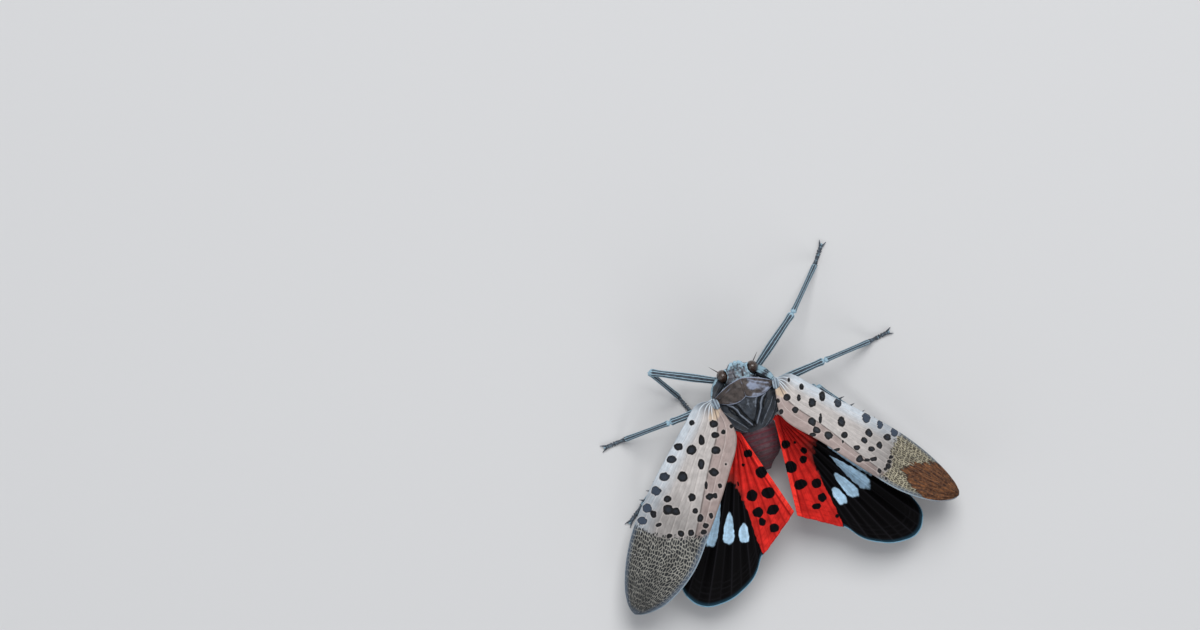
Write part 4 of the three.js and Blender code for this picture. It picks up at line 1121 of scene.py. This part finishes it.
def shield_part(sizes):
    """The neck shield. Its front edge sweeps back as a power of x, its rear edge is scalloped, and the
    height is an arch that falls to both corners. It has a keel down the middle, two curved keels, a low
    swelling and a shallow pit on each side, and a low rim. Its wax mark paints the animal's right half
    paler, as the side that the light falls on, and lays a painted highlight near the middle."""
    x = np.linspace(-1, 1, SHIELD_GRID[1])[None, :]
    v = np.linspace(0, 1, SHIELD_GRID[0])[:, None] + 0 * x
    front = -SHIELD_FRONT + 1.25 * np.abs(x) ** 1.7
    rear = 0.5 + 0.42 * np.sin(np.pi * np.abs(x) ** 0.8) - 0.35 * np.abs(x) ** 3
    y = front + (rear - front) * v
    z = SHIELD_TOP - SHIELD_CORNER_FALL * x**2 - 0.09 * (y + 0.2) ** 2 - 0.08 * y
    points = np.stack([x * SHIELD_HALF + 0 * y, y, z], -1)
    flat = points[..., :2]
    height = sizes.keel / MM
    relief = keel(flat, [(0, -1.3), (0, 0.55)], 0.09, height) + keel_pairs(flat, SHIELD_KEELS, height)
    for side in SIDES.values():
        relief += 0.14 * blob(flat, (side * 0.6, -0.45), (0.32, 0.2))
        relief -= 0.14 * blob(flat, (side * 1.0, 0.05), (0.35, 0.16))
    rim = np.minimum(v, 1 - v)
    relief += 0.06 * bell(rim, 0.05) + 0.02 * np.sin(flat[..., 0] * 9) * np.sin(flat[..., 1] * 11)
    wax = np.clip(relief / height * 0.6, 0, 1) * 0.6 + 0.65 * bell(rim, 0.045)
    # painted light: the animal's right half is laid paler, as the lit side; the sine is uneven wax
    wax += 0.38 * smooth(-flat[..., 0], 0.1, 0.9) + 0.12 * np.sin(flat[..., 0] * 3 + flat[..., 1] * 5)
    # painted highlight near the middle of the shield
    wax += 0.5 * blob(flat, (-0.75, -0.15), (0.55, 0.3))
    edge = smooth(rim, 0, 0.06)
    upper = raised(points, relief + 0.16 * (0.3 + 0.7 * edge))
    return sheet(upper, raised(points, -0.1 - 0.1 * edge), wax=wax)


def back_part(sizes):
    """The back shield: full width behind the neck shield, narrowing to the point of the scutellum. A keel
    with a groove on both sides runs from each shoulder to the point, with a fainter pair inside them and one
    down the middle. Its wax mark also paints shade into the grooves and a highlight on the middle of the
    front part."""
    v = np.linspace(0, 1, BACK_GRID[0])[:, None]
    u = np.linspace(-1, 1, BACK_GRID[1])[None, :] + 0 * v
    y = SCUTELLUM_TIP * v + 0 * u
    x = u * curve_through(BACK_OUTLINE, y)
    points = np.stack([x, y, BACK_TOP - 0.2 * x**2 - 0.14 * (y - 0.4)], -1)
    flat = points[..., :2]
    height = sizes.keel / MM * 1.3
    relief = keel(flat, [(0, 0.4), (0, 3.2)], 0.07, height * 0.2)
    relief += keel_pairs(flat, [(BACK_KEEL, 0.1, 1.0)], height, fade=0.05)
    relief += keel_pairs(flat, [(BACK_INNER_KEEL, 0.09, 0.4)], height)
    for side in SIDES.values():
        far, _ = to_path(flat, on_side(BACK_KEEL, side))
        relief -= height * bell(far - 0.27, 0.1) * smooth(y, 0.5, 0.9)
    relief += 0.018 * np.sin(x * 8 + y * 3) * np.sin(y * 9)
    # painted shade where the relief sinks below zero beside the keels, and a painted highlight on the middle
    # of the front part
    wax = np.clip(relief / height, -1, 1) + 0.42 * blob(flat, (-0.3, 1.2), (0.8, 0.5))
    thin = 0.3 + 0.7 * smooth(1 - np.abs(u), 0, 0.08)
    return sheet(raised(points, relief + 0.12 * thin), raised(points, -0.25 + 0 * x), wax=wax)


def rear_lobe(side):
    """One of the two long swellings beside the scutellum: a flattened section carried along a path from the
    wing's hinge to the tail end of the scutellum, with folds along it, and painted shade in the hollows
    between the folds."""
    t = np.linspace(0, 1, LOBE_GRID[0])
    radii = 0.05 + 0.36 * np.sin(np.pi * np.clip(t, 0.02, 0.98)) ** 0.6
    path = path_curve(on_side(LOBE_PATH, side), t)
    rings, crest = carried(path, radii, LOBE_GRID[1], ridges=8, ridge_height=0.28, flatten=1.7)
    # painted shade: the hollows between the folds are marked below zero, which the finish darkens
    return tube(rings, wax=np.where(crest > 0.05, 0.7 * crest, -0.35))


def rear_plate_part():
    """The low plate behind the scutellum that the abdomen runs out from under: a half ellipsoid with folds
    across it."""

    def folds(turn, fall):
        return 0.035 * np.cos(np.sin(turn) * np.sin(fall) * 14)

    rings = ball(REAR_PLATE_CENTRE, REAR_PLATE_RADII, 96, 48, folds)
    return tube(rings, wax=0.4 * smooth(rings[..., 1], 3.9, 4.15))


def trunk_part():
    """The thorax under its plates: rounded rings along Y, with a groove at each join of two segments and
    slanting grooves down the flanks, and low swellings over the hips. The grooves get painted shade."""
    y = np.linspace(TRUNK[0][0], TRUNK[-1][0], TRUNK_GRID[0])
    rings = level_rings(y, curve_through(TRUNK, y), TRUNK_GRID[1], 0.85)
    side_view = rings[..., 1:]
    depth = -0.13 * sum(bell(rings[..., 1] - join, 0.07) for join in SEGMENT_JOINS)
    for start in FLANK_GROOVES:
        depth -= keel(side_view, [(start - 0.25, 6.3), (start, 5.0), (start + 0.15, 3.2)], 0.08, 0.1)
    for hip in HIP_SWELLINGS:
        depth += 0.22 * blob(side_view, (hip, 3.3), (0.5, 0.5**0.5))
    rings = rings + normals_from(rings, rings.mean(1, keepdims=True)) * depth[..., None]
    wax = 0.75 * bell(rings[..., 2] - 5.4, 0.5) * smooth(np.abs(rings[..., 0]), 1.4, 2.0)
    # painted shade: the grooves' depth pushes the mark below zero, which the finish darkens
    return tube(rings, wax=wax + 6 * np.minimum(depth, 0))


def hinge_parts(side):
    """The swelling on a flank that carries the forewing, and two short struts to the wing's root."""
    parts = [ball(on_side(HINGE_CENTRE, side), HINGE_RADII, 40, 28)]
    for start, end, radius in HINGE_STRUTS:
        parts.append(limb(on_side(start, side), on_side(end, side), [(0, radius), (1, radius)], 24, 24)[0])
    return [tube(rings, wax=0.22) for rings in parts]


def neck_strap(side):
    """The plate that runs from the wing's hinge past the corner of the neck shield to the cheek and down to
    the front hip: a flat section with fine ridges along it, carried along a path, with uneven creases across
    it that are only painted shade. Its outer edge is waxed. On the animal's right a broad face is painted
    pale as well, a painted highlight on the side that the light falls on."""
    t = np.linspace(0, 1, STRAP_GRID[0])
    radii = 0.05 + 0.12 * np.sin(np.pi * np.clip(t, 0.02, 0.98)) ** 0.7
    path = path_curve(on_side(STRAP_PATH, side), t)
    rings, crest = carried(path, radii, STRAP_GRID[1], ridges=10, ridge_height=0.35, flatten=2.6)
    outward = np.cos(circle(STRAP_GRID[1])) * side
    # painted highlight: on the animal's right a broad face is laid pale, as the side that the light falls on
    outer_wax_and_highlight = smooth(outward, 0.62, 0.85) if side > 0 else 0.85 * smooth(outward, -0.8, -0.1)
    # painted shade across the strap where creases would lie; the creases are not in the shape
    creases = 0.6 * np.sin(t * 11 + 2 * np.sin(t * 8))[:, None] ** 10
    return tube(rings, wax=outer_wax_and_highlight + 0.4 * crest - creases)


def tegula_part(side):
    """The scale over the forewing's hinge: a flattened ribbed shell that slopes outwards."""
    x, y, z = FOREWINGS["left" if side > 0 else "right"]["root"]

    def ribs(turn, fall):
        return 0.035 * np.cos(np.cos(turn) * np.sin(fall) * 16)

    rings = ball((side * (x - 0.02), y + 0.05, z + 0.3), SCALE_RADII, 64, 40, ribs)
    outward = np.abs(rings[..., 0]) - x
    rings[..., 2] -= outward * 0.7
    rings[..., 0] += side * (rings[..., 1] - y) * -0.12
    return tube(rings, wax=np.clip(0.45 + 0.3 * np.cos(outward * 22 + 0.6), 0, 1))


# Head


def head_part(sizes):
    """The head capsule: rounded rings from snout to neck, raised along the rim of the crown, down both sides
    of the face and down its middle, and sunk between these keels, with hollows where the eyes sit. Its wax
    mark lays the animal's right side paler, as the side that the light falls on, and paints shade into two
    grooves on each side of the crown."""
    t = np.linspace(0, 1, HEAD_GRID[0])
    y = HEAD[0][0] + (HEAD[-1][0] - HEAD[0][0]) * (0.35 * t + 0.65 * t**1.6)
    rings = level_rings(y, curve_through(HEAD, y), HEAD_GRID[1], 0.9)
    normal = normals_from(rings, np.array([0, -1.6, 5.0]))
    x, y, z = np.moveaxis(rings, -1, 0)
    height = sizes.keel / MM
    depth = keel(rings, FACE_KEEL, 0.08, height * 0.7)
    depth += keel_pairs(rings, HEAD_KEELS, height, fade=0.04)
    for side in SIDES.values():
        eye = np.linalg.norm((rings - on_side(EYE_CENTRE, side)) / EYE_RADII, axis=-1)
        depth += 0.1 * bell(eye - 1.25, 0.1) - 0.14 * np.exp(-((eye / 1.05) ** 4))
    depth -= 0.16 * blob(rings[..., :2], (0, -1.9), (0.7, 0.5)) * (z > 5.6)
    creases = np.sin(y * 16 + np.abs(x) * 3) * smooth(z, 5.5, 6.0)
    depth += 0.02 * creases + 0.012 * np.sin(x * 13) * np.sin(z * 11)
    # painted light: the animal's right side, x below zero, is laid paler, as the side that the light falls
    # on
    wax = np.clip(depth / height, 0, 1) * 0.8 + 0.5 * smooth(z, 5.2, 6.2) - 0.16 * x
    groove = keel_pairs(rings, CROWN_GROOVES, 1.0)
    depth -= 0.08 * groove
    # painted shade in the crown's grooves
    return tube(rings + normal * depth[..., None], wax=np.clip(wax, 0, 1) - 1.5 * groove)


def snout_part():
    """The short upturned point between the keels of the crown."""
    t = np.linspace(0, 1, SNOUT_GRID[0])
    radii = 0.3 * np.sqrt(np.clip(1 - t**2.2, 0.002, 1))
    rings, _ = carried(path_curve(SNOUT_PATH, t), radii, SNOUT_GRID[1])
    return tube(rings, wax=0.3 + 0.5 * t[:, None])


def lip_part():
    """The lower face, a tapered hump with waxed bands that leads down to the beak."""
    rings, _, along = limb(LIP_START, LIP_END, LIP_RADII, 50, 36, flatten=0.9)
    return tube(rings, wax=0.25 + 0.2 * np.sin(along * 40))


def eye_part(side):
    """A tall ellipsoid with a paler band low down."""
    rings = ball(on_side(EYE_CENTRE, side), EYE_RADII, 64, 48)
    return tube(rings, wax=smooth(EYE_CENTRE[2] - 0.35 - rings[..., 2], 0, 0.25))


def antenna_parts(side):
    """A knobbly bulb, a collar behind it, and a bristle that arches and tapers to a hair."""

    def knobs(turn, fall):
        return 0.05 * np.sin(turn * 7) * np.sin(fall * 9)

    centre = on_side(BULB_CENTRE, side)
    bulb = ball(centre, (BULB_RADIUS, BULB_RADIUS, BULB_RADIUS * 1.1), 64, 48, knobs)
    base, neck = on_side(COLLAR, side)
    collar, _, _ = limb(base, neck, [(0, 0.24), (1, 0.2)], 24, 24)
    t = np.linspace(0, 1, 60)
    start, end = centre + on_side(BRISTLE_START, side), on_side(BRISTLE_END, side)
    path = raised(start + (end - start) * t[:, None], np.sin(np.pi * t) * 0.12)
    bristle, _ = carried(path, 0.045 * (1 - t) ** 0.7 + 0.008 + 0.1 * bell(t, 0.05), 16)
    return [tube(bulb, dark=0), tube(collar, dark=0.75), tube(bristle, dark=smooth(t, 0.0, 0.08)[:, None])]


def beak_part():
    """The beak: a tapering tube that runs back between the hips, with two joints and a ridge on each
    side."""
    t = np.linspace(0, 1, BEAK_GRID[0])
    radii = curve_through(BEAK_RADII, t) - 0.05 * sum(bell(t - joint, 0.012) for joint in BEAK_JOINTS)
    path = path_curve(BEAK_PATH, t, by_length=True)
    rings, crest = carried(path, radii, BEAK_GRID[1], ridges=2, ridge_height=0.12)
    return tube(rings, wax=0.25 * crest)


# Abdomen and legs


def abdomen_part():
    """The abdomen: rounded rings along an arc that bends down to the tail. Within each segment the ring
    grows slowly and then steps in under the next one, so the segments overlap like tiles. Each has a row of
    shallow dimples over the back."""
    s = np.linspace(0, TAIL_SHARE, ABDOMEN_GRID[0])
    within = (s * ABDOMEN_RINGS) % 1
    tile = 0.985 + 0.035 * within - 0.035 * smooth(within, 0.8, 1.0)
    half = curve_through(ABDOMEN_HALF, s) * tile
    stations = np.stack([4.25 - 0.5 * s - 1.0 * s**2, half, half * ABDOMEN_UP, half * ABDOMEN_DOWN], -1)
    rings = level_rings(ABDOMEN_START + (ABDOMEN_END - ABDOMEN_START) * s, stations, ABDOMEN_GRID[1], 0.92)
    turn = circle(ABDOMEN_GRID[1]) - np.pi / 2
    dimples = (np.sin(turn * 6) > 0.4) * (np.sin(turn) > 0.174)
    rings[..., 2] -= 0.03 * bell(within[:, None] - 0.45, 0.15) * dimples
    bloom = smooth(0.2 - s, 0, 0.1)
    seam = bell(np.minimum(within, 1 - within), 0.2) * (1 - bloom)
    return tube(rings, seam=seam[:, None], bloom=bloom[:, None])


def keeled(start, end, radii, steps, bow=0.0, keels=6):
    """A stretch of leg with keels along it, waxed on the keels and at both of its joints."""
    rings, crest, along = limb(start, end, radii, steps, 36, bow, ridges=keels, ridge_height=0.3)
    joints = smooth(0.06 - along, 0, 0.03) + smooth(along, 0.95, 0.99)
    return tube(rings, wax=0.15 + 1.1 * crest + 0.5 * joints)


def spine(root, tip, radius):
    """A straight spine that tapers evenly."""
    t = np.linspace(0, 1, 14)
    rings, _ = carried(root + (tip - root) * t[:, None], radius * (1 - t) + 0.012, 10)
    return tube(rings, wax=0.1)


def foot_parts(ankle, heel, toe):
    """The foot: three joints that widen towards their ends, a short link from the ankle, two claws that arch
    as a parabola, a pad between them, and two pairs of short spines."""
    foot = toe - heel
    parts = []
    for start, end, radius in FOOT_JOINTS:
        knots = [(0, radius * 0.75), (0.5, radius * 0.85), (0.85, radius * 1.1), (1, radius)]
        rings, _, along = limb(heel + foot * start, heel + foot * end, knots, 40, 24)
        rings[..., 2] = np.maximum(rings[..., 2], 0.0)
        parts.append(tube(rings, wax=0.3 + 0.6 * smooth(along, 0.85, 1.0)))
    rings, _, _ = limb(ankle, heel + foot * 0.08, [(0, 0.22), (1, 0.18)], 30, 24)
    parts.append(tube(rings, wax=0.35))

    forward = np.array([*foot[:2], 0]) / np.linalg.norm(foot[:2])
    aside = np.array([-forward[1], forward[0], 0])
    t = np.linspace(0, 1, 30)
    for sign in SIDES.values():
        path = toe + aside * sign * (0.09 + 0.25 * t[:, None]) + forward * 0.6 * t[:, None]
        claw, _ = carried(raised(path, 0.22 * t - 0.36 * t**2), 0.085 * (1 - t**1.5) + 0.012, 14)
        parts.append(tube(claw, wax=0.05))
    parts.append(tube(ball(toe + forward * 0.2 - [0, 0, 0.07], (0.13, 0.13, 0.09), 24, 16), wax=0.6))
    for joint in FOOT_SPINES:
        for sign in SIDES.values():
            root = heel + foot * joint + aside * sign * 0.13 - [0, 0, 0.06]
            parts.append(spine(root, root + aside * sign * 0.1 + forward * 0.16 - [0, 0, 0.03], 0.05))
    return parts


def hind_spines(knee, ankle, count):
    """A row of long spines along a hind shin, leaning out, forwards and up."""
    outward = np.array([np.sign(knee[0]), -0.6, 0.5])
    outward /= np.linalg.norm(outward)
    roots = [knee + (ankle - knee) * share for share in np.linspace(0.3, 0.92, count)]
    return [spine(root, root + outward * 0.72 + (ankle - root) * 0.05, 0.13) for root in roots]


def shin_teeth(knee, ankle):
    """A ring of short teeth round the shin's far end."""
    shin = (ankle - knee) / np.linalg.norm(ankle - knee)
    level = np.cross(shin, [0, 0, 1.0])
    level /= np.linalg.norm(level)
    teeth = []
    for turn in circle(SHIN_TEETH):
        way = level * np.cos(turn) + np.cross(level, shin) * np.sin(turn)
        root = ankle - shin * 0.1 + way * 0.17
        teeth.append(spine(root, root + way * 0.1 + shin * 0.2, 0.05))
    return teeth


def leg_parts(name, spine_count):
    """One leg: hip, thigh and shin, keeled along their length, the foot, and the spines of the shin."""
    hip, trochanter, knee = [np.array(point) for point in LEGS[name][:3]]
    ankle, toe = [np.array([*point, z]) for point, z in zip(LEGS[name][3:], (ANKLE_HEIGHT, SOLE_HEIGHT))]
    heel = ankle + (toe - ankle) * 0.2
    heel[2] = SOLE_HEIGHT + 0.06
    return [
        keeled(hip, trochanter + (trochanter - hip) * 0.08, HIP_RADII, 50, keels=5),
        keeled(trochanter, knee, THIGH_RADII, 90, bow=0.08),
        keeled(knee, ankle, SHIN_RADII, 90, bow=0.05),
        *foot_parts(ankle, heel, toe),
        *(hind_spines(knee, ankle, spine_count) if name.startswith("hind") else []),
        *shin_teeth(knee, ankle),
    ]


# Stage


def add_floor(scene, tint):
    """A plain square floor at Z 0."""
    mesh = bpy.data.meshes.new("floor")
    corners = [(x * FLOOR_HALF, y * FLOOR_HALF, 0) for x, y in ((-1, -1), (1, -1), (1, 1), (-1, 1))]
    mesh.from_pydata(corners, [], [(0, 1, 2, 3)])
    mesh.materials.append(Finish("floor_finish").done(tint, 0.85, specular=0.2))
    floor = bpy.data.objects.new("floor", mesh)
    scene.collection.objects.link(floor)


def add_camera(scene, height, lens):
    """A camera over CAMERA_AIM that looks straight down, turned about its own axis by CAMERA_TURN."""
    turn = np.radians(CAMERA_TURN)
    right = (-np.cos(turn), np.sin(turn), 0)
    up = (-np.sin(turn), -np.cos(turn), 0)
    matrix = Matrix((right, up, (0, 0, 1))).transposed().to_4x4()
    matrix.translation = (*place(np.array([*CAMERA_AIM, 0.0]))[:2], height)
    data = bpy.data.cameras.new("camera")
    data.lens = lens
    data.clip_start = 0.01
    camera = bpy.data.objects.new("camera", data)
    camera.matrix_world = matrix
    scene.collection.objects.link(camera)
    scene.camera = camera


def add_lights(scene, stage):
    """Area lights that look at the insect, and a dim sky."""
    target = place(np.array(LIGHT_TARGET))
    for name, (setting, width, offset) in LIGHTS.items():
        data = bpy.data.lights.new(name, "AREA")
        data.energy = getattr(stage, setting)
        data.size = width
        lamp = bpy.data.objects.new(name, data)
        lamp.location = target + np.array(offset)
        lamp.rotation_euler = Vector(offset).to_track_quat("Z", "Y").to_euler()
        scene.collection.objects.link(lamp)
    world = bpy.data.worlds.new("studio")
    world.use_nodes = True
    background = world.node_tree.nodes["Background"]
    background.inputs["Color"].default_value = SKY_TINT
    background.inputs["Strength"].default_value = SKY_STRENGTH
    scene.world = world


# Operators: one for each piece or group of like pieces, and one for the stage


class LANTERNFLY_OT_stage(bpy.types.Operator):
    """Lay the floor, hang the lights and aim the camera"""

    bl_idname = "lanternfly.stage"
    bl_label = "Stage and camera"

    def execute(self, context):
        stage = context.scene.lanternfly_stage
        add_floor(context.scene, stage.floor)
        add_camera(context.scene, stage.height, stage.lens)
        add_lights(context.scene, stage)
        context.scene.view_settings.view_transform = "Standard"
        return {"FINISHED"}


class LANTERNFLY_OT_forewings(bpy.types.Operator):
    """Build both forewings with their veins, net and spots"""

    bl_idname = "lanternfly.forewings"
    bl_label = "Forewings"

    def execute(self, context):
        sizes, colours = context.scene.lanternfly_sizes, context.scene.lanternfly_colours
        for side in SIDES:
            finish = forewing_finish(colours, sizes, side)
            part = forewing_part(side, sizes, colours)
            make_piece(f"forewing_{side}_skin", [part], finish, [f"forewing_{side}"])
        return {"FINISHED"}


class LANTERNFLY_OT_hindwings(bpy.types.Operator):
    """Build both pleated hindwings"""

    bl_idname = "lanternfly.hindwings"
    bl_label = "Hindwings"

    def execute(self, context):
        finish = hindwing_finish(context.scene.lanternfly_colours)
        for side, wing in HINDWINGS.items():
            parts = [hindwing_part(side, context.scene.lanternfly_sizes), hindwing_root(wing)]
            make_piece(f"hindwing_{side}_skin", parts, finish, [f"hindwing_{side}"])
        return {"FINISHED"}


class LANTERNFLY_OT_head(bpy.types.Operator):
    """Build the head with its snout and lower face, the eyes, antennae and beak"""

    bl_idname = "lanternfly.head"
    bl_label = "Head"

    def execute(self, context):
        sizes, colours = context.scene.lanternfly_sizes, context.scene.lanternfly_colours
        finish = plate_finish("head_finish", colours.head, colours.wax, edges=0.9, cloud_mm=0.4)
        make_piece("head_skin", [head_part(sizes), snout_part(), lip_part()], finish, ["head"])
        eyes, bulbs = eye_finish(colours), antenna_finish(colours)
        for side, sign in SIDES.items():
            make_piece(f"eye_{side}_skin", [eye_part(sign)], eyes, [f"eye_{side}"])
            make_piece(f"antenna_{side}_skin", antenna_parts(sign), bulbs, [f"antenna_{side}"])
        horn = plate_finish("beak_finish", colours.beak, colours.beak_ridge, edges=0.5, cloud_mm=0.6)
        make_piece("beak_skin", [beak_part()], horn, ["beak"])
        return {"FINISHED"}


class LANTERNFLY_OT_thorax(bpy.types.Operator):
    """Build the thorax, its shields and the scales over the wing hinges"""

    bl_idname = "lanternfly.thorax"
    bl_label = "Thorax"

    def execute(self, context):
        sizes, colours = context.scene.lanternfly_sizes, context.scene.lanternfly_colours
        shield = plate_finish("shield_finish", colours.shield, colours.shield_wax, mottle=0.4)
        make_piece("neck_shield", [shield_part(sizes)], shield, ["pronotum"])
        back = plate_finish("back_finish", colours.slate, colours.back_wax, edges=0.75)
        make_piece("back_shield", [back_part(sizes)], back, ["mesothorax"])
        lobes = [rear_lobe(sign) for sign in SIDES.values()]
        make_piece("rear_lobes", [*lobes, rear_plate_part()], back, ["metathorax"])
        flank = plate_finish("flank_finish", colours.slate, colours.wax, edges=0.75, cloud_mm=0.7)
        parts = [trunk_part(), *hinge_parts(1), *hinge_parts(-1), neck_strap(1), neck_strap(-1)]
        make_piece("trunk_skin", parts, flank, ["mesothorax"])
        scale = plate_finish("scale_finish", colours.scale, colours.scale_wax, edges=0.8, cloud_mm=0.3)
        for side, sign in SIDES.items():
            make_piece(f"tegula_{side}_skin", [tegula_part(sign)], scale, [f"tegula_{side}"])
        return {"FINISHED"}


class LANTERNFLY_OT_abdomen(bpy.types.Operator):
    """Build the ringed abdomen with its tail"""

    bl_idname = "lanternfly.abdomen"
    bl_label = "Abdomen"

    def execute(self, context):
        finish = abdomen_finish(context.scene.lanternfly_colours)
        make_piece("abdomen_skin", [abdomen_part()], finish, ["abdomen", "tail_piece"])
        return {"FINISHED"}


class LANTERNFLY_OT_legs(bpy.types.Operator):
    """Build all six legs, each as one skin from hip to claws"""

    bl_idname = "lanternfly.legs"
    bl_label = "Legs"

    def execute(self, context):
        sizes, colours = context.scene.lanternfly_sizes, context.scene.lanternfly_colours
        finish = plate_finish("leg_finish", colours.leg, colours.wax, edges=0.9, cloud_mm=0.4)
        for name in LEGS:
            nodes = [f"{joint}_{name}" for joint in ("femur", "tibia", "foot")]
            make_piece(f"leg_{name}_skin", leg_parts(name, sizes.hind_spines), finish, nodes)
        return {"FINISHED"}


class LANTERNFLY_PT_panel(bpy.types.Panel):
    """Sizes, colours and one button for each group of pieces"""

    bl_label = "Lanternfly"
    bl_idname = "LANTERNFLY_PT_panel"
    bl_space_type = "VIEW_3D"
    bl_region_type = "UI"
    bl_category = "Lanternfly"

    def draw(self, context):
        for group_name in GROUPS:
            group = getattr(context.scene, group_name)
            box = self.layout.box()
            for name in group.__annotations__:
                box.prop(group, name)
        for operator in OPERATORS:
            self.layout.operator(operator.bl_idname)


GROUPS = {
    "lanternfly_sizes": LanternflySizes,
    "lanternfly_colours": LanternflyColours,
    "lanternfly_stage": LanternflyStage,
}
OPERATORS = (
    LANTERNFLY_OT_stage,
    LANTERNFLY_OT_forewings,
    LANTERNFLY_OT_hindwings,
    LANTERNFLY_OT_head,
    LANTERNFLY_OT_thorax,
    LANTERNFLY_OT_abdomen,
    LANTERNFLY_OT_legs,
)
CLASSES = (*GROUPS.values(), *OPERATORS, LANTERNFLY_PT_panel)


def register():
    """Registers the classes and hangs the three groups of settings on the scene."""
    for item in CLASSES:
        bpy.utils.register_class(item)
    for name, group in GROUPS.items():
        setattr(bpy.types.Scene, name, PointerProperty(type=group))


def unregister():
    """Takes the settings and the classes away again."""
    for name in GROUPS:
        delattr(bpy.types.Scene, name)
    for item in reversed(CLASSES):
        bpy.utils.unregister_class(item)


def main():
    """Builds every piece in order."""
    register()
    bpy.ops.lanternfly.stage()
    bpy.ops.lanternfly.forewings()
    bpy.ops.lanternfly.hindwings()
    bpy.ops.lanternfly.head()
    bpy.ops.lanternfly.thorax()
    bpy.ops.lanternfly.abdomen()
    bpy.ops.lanternfly.legs()


if __name__ == "__main__":
    main()
